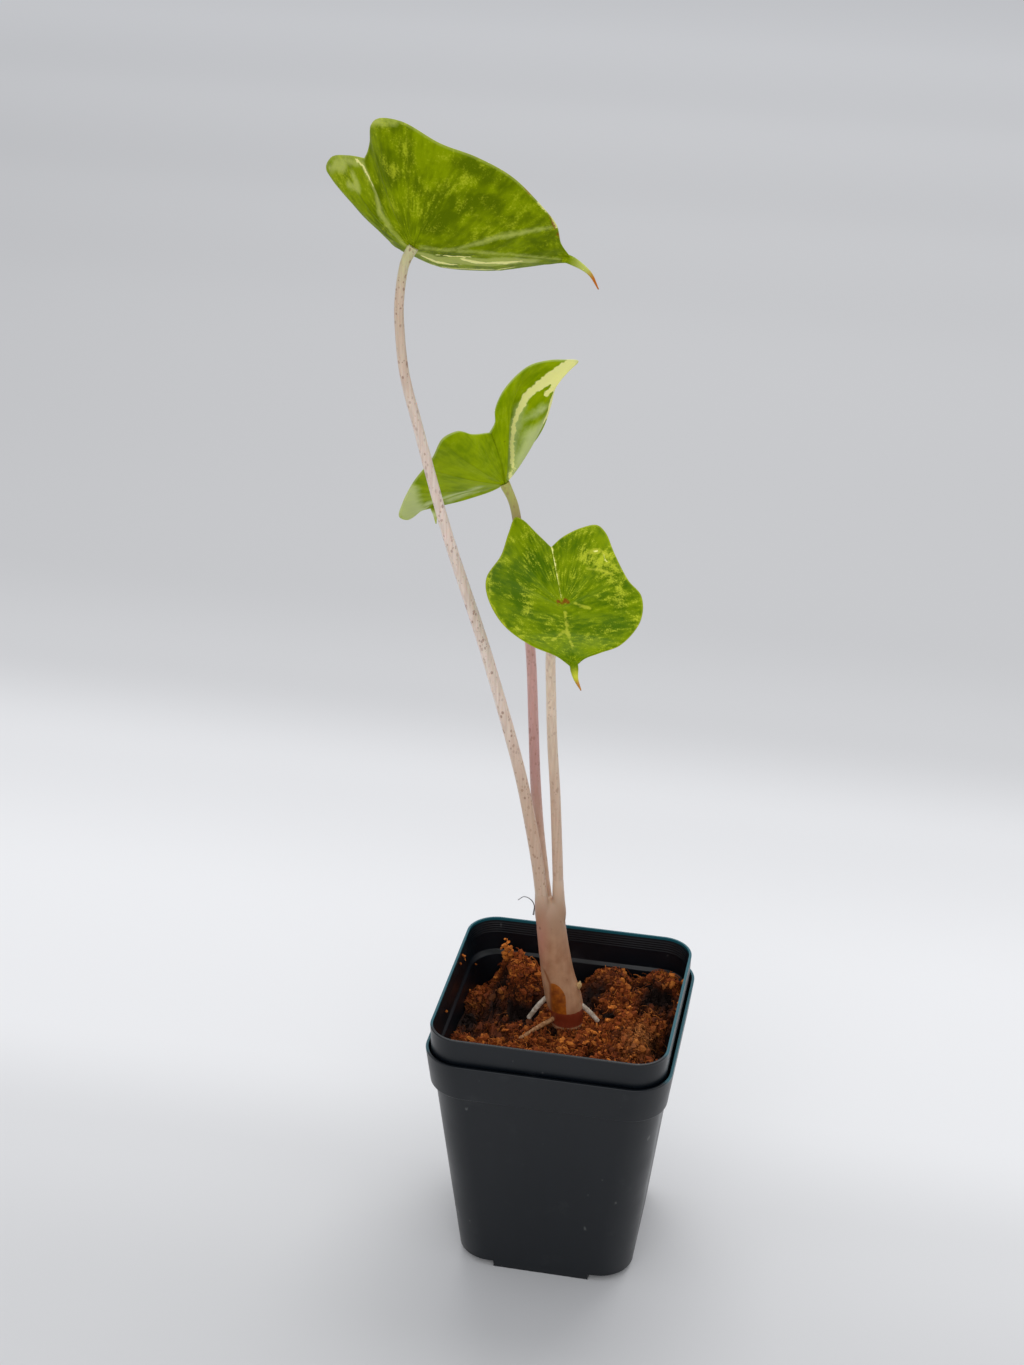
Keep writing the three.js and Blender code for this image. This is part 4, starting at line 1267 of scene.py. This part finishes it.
def grid_numbers(index, count, grid, marks):
    """What the finish needs to know of each point."""
    row, cell = np.meshgrid(np.arange(ROWS + 1) / ROWS, np.arange(CELLS + 1) / CELLS, indexing="ij")
    names = ("vein", "rib", "swell", "edge", "tip", "row", "side", *marks)
    numbers = {key: np.zeros(count) for key in names}
    for side in (FAR, NEAR):
        reach = np.linalg.norm(grid[side][:, -1] - grid[side][:, 0], axis=1)[:, None]
        on_vein, swell = vein_field(row, cell, reach)
        rib = rib_field(row, cell, reach)
        found = {"vein": on_vein, "rib": rib, "swell": swell, "edge": cell, "row": row, "side": side}
        for key, values in found.items():
            numbers[key][index[side]] = values
        for key, strokes in marks.items():
            numbers[key][index[side]] = np.maximum(numbers[key][index[side]], drawn(strokes, side, grid))
    return numbers


def blade_faces(index):
    """The grid's cells as triangles, wound so that both sides face the same way."""
    faces = []
    for side in (FAR, NEAR):
        here, along = index[side][:-1, :-1], index[side][1:, :-1]
        across, out = index[side][1:, 1:], index[side][:-1, 1:]
        first = np.stack([here, along, across], axis=-1).reshape(-1, 3)
        second = np.stack([here, across, out], axis=-1).reshape(-1, 3)
        both = np.vstack([first, second])
        faces.append(both if side == FAR else both[:, ::-1])
    faces = np.vstack(faces)
    a, b, c = faces.T
    return faces[(a != b) & (b != c) & (a != c)]


def point_normals(points, faces):
    a, b, c = (points[faces[:, k]] for k in range(3))
    flat = np.cross(b - a, c - a)
    normals = np.zeros_like(points)
    for k in range(3):
        np.add.at(normals, faces[:, k], flat)
    return normals / np.linalg.norm(normals, axis=1)[:, None]


def blade_wall(index, count, facing):
    """The thin wall round the edge, and across the end of the midrib."""
    far_end, near_end = index[FAR][-1, -2::-1], index[NEAR][-1, 1:]
    loop = [*index[FAR][:, -1], *far_end, *near_end, *index[NEAR][-2::-1, -1]]
    return [(a, b, count + b, count + a)[::facing] for a, b in zip(loop, loop[1:])]


def blade_mesh(name, leaf, marks):
    """A closed blade from the grid: an upper and a lower skin, the wall between them, and the tail."""
    grid, rise = blade_grid(leaf)
    index, count = grid_index()
    points = np.zeros((count, 3))
    for side in (FAR, NEAR):
        points[index[side]] = grid[side]
    numbers = grid_numbers(index, count, grid, marks)
    faces = blade_faces(index)
    normals = point_normals(points, faces)
    facing = 1 if normals[0] @ rise > 0 else -1
    normals = facing * normals
    faces = faces[:, ::facing]
    half = BLADE_THICKNESS / 2 * np.sqrt(np.clip(1 - soft_step(numbers["edge"], 0.9, 1.0) * 0.9, 0, 1))
    groove = leaf["vein_height"] * numbers["vein"]
    swelling = SWELLING * numbers["swell"]
    above = points + normals * (half - 0.7 * groove + swelling)[:, None]
    below = points - normals * (half + groove + RIB_KEEL * numbers["rib"] - swelling)[:, None]
    shell = np.vstack([above, below])
    all_faces = [*faces, *(faces[:, ::-1] + count), *blade_wall(index, count, facing)]
    numbers = {key: np.tile(values, 2) for key, values in numbers.items()}
    numbers["under"] = np.repeat([0.0, 1.0], count)
    return with_tail(name, leaf, shell, all_faces, numbers)


def with_tail(name, leaf, shell, faces, numbers):
    """Adds the drip tip, a tapered tube that grows out of the end of the midrib."""
    midrib = np.array(leaf["midrib"])
    root = midrib[-1] + (midrib[-2] - midrib[-1]) * 0.15
    tail = tube([root, midrib[-1], *leaf["tail"]], TAIL_RADII, TAIL_RINGS, TAIL_SIDES)
    points, faces = joined((shell, faces), tail)
    share = np.append(np.repeat(np.linspace(0, 1, TAIL_RINGS), TAIL_SIDES), [0, 1])
    for key, values in numbers.items():
        on_tail = share if key == "tip" else np.full(len(share), 1.0 if key == "row" else 0.0)
        numbers[key] = np.concatenate([values, on_tail])
    return mesh_of(name, np.array(points) + leaf["seat"], faces, **numbers)


print("each blade has", ROWS, "rows of", CELLS, "cells on either side")

# %% [markdown]
# ## Leaf finish
# The leaves are variegated: a yellow-green ground with darker fields, small yellow flecks that thicken in
# places, and cream sectors with a crisp ragged edge. The mesh says where cream, flecks and dark fields
# gather, and noise breaks them up. Pale strokes are partly the leaf's own pale bands and partly painted
# sheen and painted light, where a blade shows grey gloss or faces away from the light. Light comes through
# a thin blade, so the finish scatters a little of it below the surface. The upper face is glossier than the
# lower one.

# %% Leaf finish
CREAM = rgb(248, 245, 158)
RUST = rgb(134, 70, 14)
TIP_BROWN = rgb(196, 112, 34)
DOT_BROWN = rgb(60, 60, 20)
LANES = (46.0, 7.0, 9.0)
GATHERING = 0.026
DARKENING = -0.1
DULL_IOR = 1.2


def stroke_of(tree, name, ragged, share, soft=0.15):
    """Where the strokes of one kind lie, with an edge that noise makes ragged."""
    depth = weighed(tree, math_of(tree, "SUBTRACT", ragged, 0.5), 2.4, number(tree, name))
    return between(tree, depth, MARK_REACH - soft, MARK_REACH + soft, 0.0, share)


def leaf_ground(tree, place, look, fine, streaks):
    """The ground with its darker fields, its flecks and its veins."""
    mixed = weighed(tree, streaks, 0.4, product(tree, clouds(tree, place, 8, 4), 0.6))
    mixed = weighed(tree, between(tree, number(tree, "field"), 0.0, 2 * MARK_REACH), DARKENING, mixed)
    base = blend(tree, between(tree, mixed, 0.34, 0.62), look["dark"], look["ground"])
    lots = weighed(tree, fine, 1 - look["streaky"], product(tree, streaks, look["streaky"]))
    patchy = weighed(tree, clouds(tree, place, 5, 3), 0.4, -0.2)
    gathered = weighed(tree, number(tree, "fleck"), GATHERING, patchy)
    flecks = between(tree, math_of(tree, "ADD", lots, gathered), 0.52, 0.7, 0.0, look["fleck_share"])
    base = blend(tree, flecks, base, look["fleck"])
    veins = math_of(tree, "MAXIMUM", number(tree, "vein"), number(tree, "rib"))
    return blend(tree, product(tree, veins, look["vein_share"]), base, look["vein"])


def leaf_finish(name, look):
    material, tree, shader, place = material_of(name)
    lanes = {axis: number(tree, key) for axis, key in enumerate(("row", "edge", "side"))}
    lanes = out_of(tree, "ShaderNodeCombineXYZ", lanes)
    streaks = noise_of(tree, vector_of(tree, "MULTIPLY", {0: lanes, 1: LANES}), 4.0)
    fine = clouds(tree, place, look["grain"], 5, 0.7)
    base = leaf_ground(tree, place, look, fine, streaks)
    ragged = clouds(tree, place, 2.0, 4, 0.65)
    pale_edge = look["pale_soft"]
    # Pale strokes: the leaf's own pale bands and midrib, with painted sheen and painted light among them.
    base = blend(tree, stroke_of(tree, "pale", ragged, look["pale_share"], pale_edge), base, look["pale"])
    base = blend(tree, stroke_of(tree, "cream", ragged, 1.0), base, CREAM)
    base = blend(tree, stroke_of(tree, "rust", ragged, 0.85, 0.25), base, RUST)
    base = blend(tree, between(tree, number(tree, "edge"), 0.975, 0.995, 0.0, 0.35), base, look["pale"])
    dots = use(tree, freckles, place, Spacing=5.0, Size=0.07, Share=0.3, Height=1.0)
    base = blend(tree, product(tree, dots, 0.6), base, DOT_BROWN)
    base = blend(tree, between(tree, number(tree, "tip"), 0.1, 0.5), base, look["pale"])
    base = blend(tree, between(tree, number(tree, "tip"), 0.5, 0.8), base, look["tail"])
    rough = weighed(tree, number(tree, "under"), 0.12, weighed(tree, fine, 0.14, 0.32))
    bumps = relief(tree, weighed(tree, streaks, 0.6, product(tree, fine, 0.4)), 0.06)
    looks = {"Base Color": base, "Roughness": rough, "Normal": bumps}
    looks.update({"IOR": DULL_IOR, "Specular IOR Level": look["gloss"]})
    fill(shader, {**looks, **flesh(0.15, (0.9, 1.0, 0.1), 1.2)})
    return material


# %% Leaf marks
# Every stroke names its side and its places as (row, cell, half width), as the helper for strokes says.
TALL_MARKS = dict(
    cream=[
        (NEAR, [(0.72, 1.0, 0.2), (0.755, 1.0, 0.5), (0.785, 1.0, 0.1), (0.81, 1.0, 0.4),
                (0.84, 1.0, 0.5)]),
        (FAR, [(0.54, 0.3, 0.3), (0.585, 0.42, 1.5), (0.63, 0.5, 0.9), (0.66, 0.45, 0.3)]),
        (FAR, [(0.66, 0.2, 0.4), (0.7, 0.3, 1.6), (0.745, 0.28, 0.8), (0.79, 0.34, 1.5),
               (0.84, 0.26, 0.4)]),
        (FAR, [(0.58, 0.12, 0.2), (0.62, 0.14, 0.6), (0.68, 0.12, 0.2)]),
        (FAR, [(0.56, 0.75, 0.3), (0.64, 0.8, 0.9), (0.74, 0.75, 0.9), (0.82, 0.7, 0.3)]),
        (FAR, [(0.05, 0.97, 0.2), (0.02, 0.9, 0.5), (0.01, 0.75, 0.3)]),
    ],
    # Pale strokes: the pale midrib and sinus bands, with painted sheen along the far lobe's seam.
    pale=[
        (FAR, [(0.12, 0.96, 0.8), (0.02, 0.96, 0.8), (0.01, 0.69, 0.7), (0.08, 0.46, 0.8),
               (0.3, 0.1, 0.6)]),
        (NEAR, [(0.52, 0.02, 0.2), (0.7, 0.04, 0.3), (0.86, 0.06, 0.3), (0.97, 0.04, 0.2)]),
        (NEAR, [(0.61, 0.03, 0.2), (0.65, 0.14, 0.4), (0.705, 0.39, 0.6), (0.77, 0.64, 0.6),
                (0.82, 0.88, 0.2)]),
        # Painted light: this wide stroke brightens the strip below the midrib, which faces down.
        (FAR, [(0.52, 0.15, 1.2), (0.6, 0.3, 3.4), (0.7, 0.3, 4.2), (0.8, 0.28, 3.6), (0.88, 0.2, 1.6)]),
        (FAR, [(0.1, 0.85, 0.6), (0.12, 0.7, 1.0), (0.16, 0.75, 0.8)]),
        (FAR, [(0.1, 0.95, 1.0), (0.13, 0.9, 1.8), (0.16, 0.93, 1.6)]),
        (NEAR, [(0.15, 0.99, 0.4), (0.19, 0.98, 0.9), (0.24, 0.97, 0.3)]),
        (FAR, [(0.14, 0.9, 0.8), (0.19, 0.95, 0.9)]),
    ],
    rust=[
        (FAR, [(0.56, 1.0, 0.2), (0.6, 0.97, 0.5), (0.66, 0.99, 0.4), (0.7, 1.0, 0.1)]),
        (NEAR, [(0.66, 1.0, 0.1), (0.78, 1.0, 0.25), (0.9, 1.0, 0.1)]),
    ],
    fleck=[
        (NEAR, [(0.27, 0.85, 1.4), (0.29, 0.72, 1.2), (0.31, 0.56, 1.8)]),
        (NEAR, [(0.455, 0.68, 1.4), (0.48, 0.73, 2.0), (0.5, 0.8, 1.2)]),
        (NEAR, [(0.295, 0.45, 1.2), (0.4, 0.4, 1.2)]),
        (NEAR, [(0.2, 0.7, 1.0), (0.24, 0.66, 1.4)]),
        (FAR, [(0.14, 0.8, 1.5), (0.19, 0.86, 2.0)]),
    ],
    field=[
        (NEAR, [(0.475, 0.93, 2.0), (0.545, 0.92, 2.5), (0.625, 0.95, 2.0)]),
        (NEAR, [(0.43, 0.55, 2.5), (0.49, 0.35, 3.0), (0.52, 0.6, 3.0), (0.605, 0.7, 2.5)]),
        (NEAR, [(0.175, 0.8, 1.5), (0.19, 0.6, 1.5)]),
    ],
)
MIDDLE_MARKS = dict(
    cream=[
        (
            FAR,
            [
                (0.305, 1.0, 1.8), (0.325, 0.95, 3.0), (0.32, 0.86, 2.4), (0.315, 0.79, 1.7),
                (0.308, 0.72, 1.3), (0.305, 0.64, 1.0), (0.31, 0.54, 0.9), (0.315, 0.43, 0.7),
                (0.335, 0.33, 0.6), (0.355, 0.27, 0.5), (0.42, 0.16, 0.45), (0.5, 0.07, 0.35),
            ],
        ),
        (FAR, [(0.34, 0.92, 1.2), (0.36, 0.95, 1.2), (0.37, 0.88, 0.8), (0.365, 0.8, 0.5)]),
        (FAR, [(0.38, 0.97, 0.8), (0.405, 0.97, 0.6), (0.43, 0.95, 0.9), (0.48, 0.92, 1.4),
               (0.485, 0.84, 1.4)]),
        (FAR, [(0.44, 1.0, 0.7), (0.475, 1.0, 1.2), (0.53, 0.99, 1.6)]),
    ],
    # Pale strokes: the pale band down the fold, and broad strokes of painted sheen for the grey gloss on
    # the flaps.
    pale=[
        (FAR, [(0.31, 0.54, 0.9), (0.318, 0.43, 1.2), (0.335, 0.33, 1.2), (0.36, 0.27, 1.0),
               (0.42, 0.15, 0.7)]),
        (FAR, [(0.47, 0.1, 0.8), (0.46, 0.35, 2.6), (0.45, 0.6, 3.2), (0.49, 0.85, 2.5)]),
        (FAR, [(0.345, 0.5, -0.2), (0.38, 0.65, 0.6), (0.41, 0.8, 0.9)]),
        (FAR, [(0.6, 0.2, 0.8), (0.72, 0.45, 2.0), (0.83, 0.64, 2.2), (0.94, 0.5, 1.2)]),
        (NEAR, [(0.6, 1.0, 2.4), (0.7, 0.93, 4.0), (0.8, 0.8, 3.6), (0.9, 0.6, 2.0)]),
        (NEAR, [(0.54, 0.25, 0.8), (0.62, 0.3, 1.2), (0.68, 0.4, 1.6), (0.72, 0.6, 2.0)]),
    ],
    rust=[],
    fleck=[(FAR, [(0.4, 0.6, 2.5), (0.6, 0.5, 1.5)])],
    field=[],
)
SHORT_MARKS = dict(
    cream=[
        (NEAR, [(0.0, 1.0, 0.15), (0.0, 0.7, 0.25), (0.0, 0.4, 0.15), (0.0, 0.15, 0.1)]),
        (NEAR, [(0.25, 0.72, -0.2), (0.27, 0.77, 0.05), (0.3, 0.83, -0.1), (0.35, 0.85, -0.1),
                (0.4, 0.9, -0.2)]),
    ],
    pale=[
        (NEAR, [(0.0, 1.0, 0.4), (0.0, 0.5, 0.4), (0.0, 0.15, 0.3)]),
        (NEAR, [(0.55, 0.02, 0.4), (0.7, 0.02, 0.5), (0.847, 0.08, 0.3)]),
        (FAR, [(0.7, 0.02, 0.3), (0.793, 0.35, 0.3)]),
        (NEAR, [(0.507, 0.19, 0.4), (0.553, 0.35, 0.5)]),
        (FAR, [(0.45, 1.0, 0.1), (0.6, 1.0, 0.2), (0.72, 1.0, 0.1)]),
        (NEAR, [(0.28, 0.55, 0.3), (0.36, 0.7, 0.4), (0.42, 0.84, 0.3)]),
        (NEAR, [(0.23, 0.66, 0.3), (0.26, 0.76, 0.8), (0.3, 0.84, 0.5), (0.34, 0.88, 0.3)]),
    ],
    rust=[
        (NEAR, [(0.05, 0.05, 0.1), (0.2, 0.08, 0.35), (0.4, 0.08, 0.2)]),
        (FAR, [(0.1, 0.05, 0.3), (0.3, 0.08, 0.35), (0.5, 0.06, 0.25)]),
    ],
    fleck=[
        (NEAR, [(0.2, 0.45, 1.4), (0.25, 0.65, 2.8), (0.33, 0.78, 3.2), (0.44, 0.82, 2.6),
                (0.54, 0.75, 2.0)]),
        (NEAR, [(0.2, 0.5, 1.0), (0.2, 0.9, 1.0)]),
        (FAR, [(0.42, 0.42, 0.6), (0.64, 0.62, 0.6)]),
    ],
    field=[(FAR, [(0.25, 0.6, 3.0), (0.45, 0.7, 3.0), (0.6, 0.5, 2.0)])],
)

# %% Leaves
TALL_LOOK = dict(
    dark=rgb(93, 113, 0), ground=rgb(137, 157, 0), fleck=rgb(206, 214, 50), pale=rgb(196, 204, 104),
    vein=rgb(92, 112, 0), tail=TIP_BROWN, vein_share=0.5, fleck_share=0.5, pale_share=0.7,
    pale_soft=1.0, grain=0.55, streaky=0.35, gloss=0.1,
)
MIDDLE_LOOK = dict(
    dark=rgb(124, 150, 0), ground=rgb(156, 178, 0), fleck=rgb(180, 196, 60), pale=rgb(206, 216, 150),
    vein=rgb(100, 126, 0), tail=rgb(186, 196, 96), vein_share=0.35, fleck_share=0.25, pale_share=0.75,
    pale_soft=1.6, grain=0.8, streaky=0.35, gloss=0.08,
)
SHORT_LOOK = dict(
    dark=rgb(76, 108, 0), ground=rgb(128, 150, 0), fleck=rgb(204, 212, 56), pale=rgb(200, 204, 60),
    vein=rgb(92, 124, 0), tail=rgb(186, 130, 60), vein_share=0.25, fleck_share=0.7, pale_share=0.6,
    pale_soft=0.35, grain=0.42, streaky=0.45, gloss=0.18,
)
for name, leaf, marks, look in (
    ("tall", TALL_BLADE, TALL_MARKS, TALL_LOOK),
    ("middle", MIDDLE_BLADE, MIDDLE_MARKS, MIDDLE_LOOK),
    ("short", SHORT_BLADE, SHORT_MARKS, SHORT_LOOK),
):
    skin = leaf_finish(f"{name} leaf skin", look)
    show(f"leaf_{name}", blade_mesh(name, leaf, marks), skin, "leaf", f"blade_{name}")

# %% [markdown]
# ## Roots, bud scale and dry fibre
# Three pale aerial roots reach from the stem's foot into the coir. A pale bud scale clings to the
# stem's right side, and a dry grey fibre curls off its left. All are small tapered tubes with a matt
# papery finish.


# %% Root finish
def root_finish(name, light, dark, roughness):
    material, tree, shader, place = material_of(name)
    lines = use(tree, long_lines, place, Width=0.5, Length=3.0)
    worn = between(tree, clouds(tree, place, 1.2, 4), 0.35, 0.65)
    looks = {"Base Color": blend(tree, worn, light, dark), "Roughness": roughness}
    fill(shader, {**looks, "Normal": relief(tree, lines, 0.08)})
    return material


ROOT = root_finish("root skin", rgb(200, 188, 172), rgb(150, 132, 112), 0.6)
TAN_ROOT = root_finish("tan root skin", rgb(196, 150, 104), rgb(144, 96, 56), 0.7)
PAPER = root_finish("bud paper", rgb(206, 180, 130), rgb(170, 132, 80), 0.7)
FIBRE = root_finish("dry fibre", rgb(150, 150, 152), rgb(96, 96, 98), 0.8)

# %% Roots, bud scale and dry fibre
# Each is a name, a line, radii, rings, sides, a finish, a slot and the solid that it stands for.
BUD_CENTRE = (4.4, 4.2, 84.2)
BUD_HALF_HEIGHT = 1.5
BUD_SHARES = (-1, -0.5, 0, 0.5, 1)
BUD_LINE = [
    np.array(BUD_CENTRE) + (0.25 * share - 0.7, 0.8, share * BUD_HALF_HEIGHT) for share in BUD_SHARES
]
BUD_RADII = (0.15, 0.7, 0.85, 0.55, 0.12)
BACK_LEFT = [(-5, 4, 80), (-7.6, 3.4, 77.2), (-10.9, 2, 72.2)]
FRONT_LEFT = [(-2.6, 2.6, 73.4), (-7, -2.6, 72.6), (-12, -8, 71)]
RIGHT = [(3.6, 5, 78), (7, 5.4, 75), (9.8, 5.6, 71.8)]
FIBRE_LINE = [
    (-10.7, 4, 107.5), (-10.6, 4, 110.8), (-11.7, 3.2, 113.2), (-13.5, 3, 113.9), (-15.3, 3, 112.5),
]
FIBRE_RADII = (0.3, 0.16, 0.14, 0.12)
SMALL_TUBES = [
    ("root_back_left_skin", BACK_LEFT, (0.8, 0.7), 30, 16, ROOT, "root", "root_back_left"),
    ("root_front_left_skin", FRONT_LEFT, (0.7, 0.6), 30, 16, TAN_ROOT, "root", "root_front_left"),
    ("root_right_skin", RIGHT, (0.8, 0.7), 30, 16, ROOT, "root", "root_right"),
    ("bud_paper", BUD_LINE, BUD_RADII, 24, 16, PAPER, "root", "bud_scale"),
    ("dry_fibre_thread", FIBRE_LINE, FIBRE_RADII, 48, 8, FIBRE, "fibre", "dry_fibre"),
]
for name, line, radii, rings, sides, finish, slot, solid in SMALL_TUBES:
    show(name, mesh_of(name, *tube(line, radii, rings, sides)), finish, slot, solid)

# %% [markdown]
# ## Floor and light
# The photograph was taken on a sheet of pale paper under broad soft light. A large pale floor and a pale
# sky give the even ground, and two large area lights give the soft shadows beside the pot. The paper's
# colour carries painted light: brighter in a pool behind the pot, darker in front of the pot and beyond
# the pool, and brighter again far back, as in the photograph.

# %% Floor and light
FLOOR_SIZE = 12
# Painted light: these tones paint the pool of light behind the pot and the shade in front of it.
# Each tone is (metres behind the middle of the pot, grey from 0 to 255).
PAINTED_FLOOR_LIGHT = [
    (-0.06, 210), (0.01, 218), (0.07, 233), (0.16, 234), (0.27, 224), (0.36, 203), (0.47, 195),
    (0.62, 195), (0.98, 199), (1.25, 206), (1.62, 220), (2.0, 232),
]
FLOOR_START = -0.5
FLOOR_SPAN = 2.5
SKY = rgb(232, 234, 238)
SKY_STRENGTH = 0.74
# Each light is (name, place, target, size, power), in metres and watts.
LIGHTS = [
    ("back light", (0.05, 0.75, 1.5), (0, 0, 0.1), (1.3, 0.9), 11.5),
    ("front fill", (0.1, -1.4, 1.0), (0, 0, 0.2), (1.6, 1.2), 7),
]


def paper_finish():
    material, tree, shader, place = material_of("pale paper")
    inputs = {"Value": axis_of(tree, place, 1), 1: FLOOR_START, 2: FLOOR_START + FLOOR_SPAN}
    # The ramp paints light and shade into the paper's colour, from front to back.
    ramp = node(tree, "ShaderNodeValToRGB", {0: out_of(tree, "ShaderNodeMapRange", inputs)})
    tones = ramp.color_ramp
    tones.interpolation = "EASE"
    while len(tones.elements) < len(PAINTED_FLOOR_LIGHT):
        tones.elements.new(0.5)
    for element, (distance, tone) in zip(tones.elements, PAINTED_FLOOR_LIGHT):
        element.position = (distance - FLOOR_START) / FLOOR_SPAN
        element.color = rgb(tone, tone, tone + 1)
    fill(shader, {"Base Color": ramp.outputs[0], "Roughness": 0.9, "Specular IOR Level": 0.0})
    return material


def softbox(name, place, target, size, power):
    lamp = bpy.data.lights.new(name, "AREA")
    lamp.shape = "RECTANGLE"
    lamp.size, lamp.size_y = size
    lamp.energy = power
    holder = object_of(name, lamp)
    holder.location = place
    holder.rotation_euler = (Vector(target) - Vector(place)).to_track_quat("-Z", "Y").to_euler()


reach = FLOOR_SIZE / 2 / MM
square = [(x * reach, y * reach, 0) for x, y in ((-1, -1), (1, -1), (1, 1), (-1, 1))]
floor = object_of("floor", mesh_of("floor", square, [(0, 1, 2, 3)]))
floor.data.materials.append(paper_finish())
for light in LIGHTS:
    softbox(*light)
world = bpy.data.worlds.new("pale room")
world.use_nodes = True
fill(world.node_tree.nodes["Background"], {"Color": SKY, "Strength": SKY_STRENGTH})
bpy.context.scene.world = world
bpy.context.scene.view_settings.view_transform = "Standard"
print("lights:", len(LIGHTS))
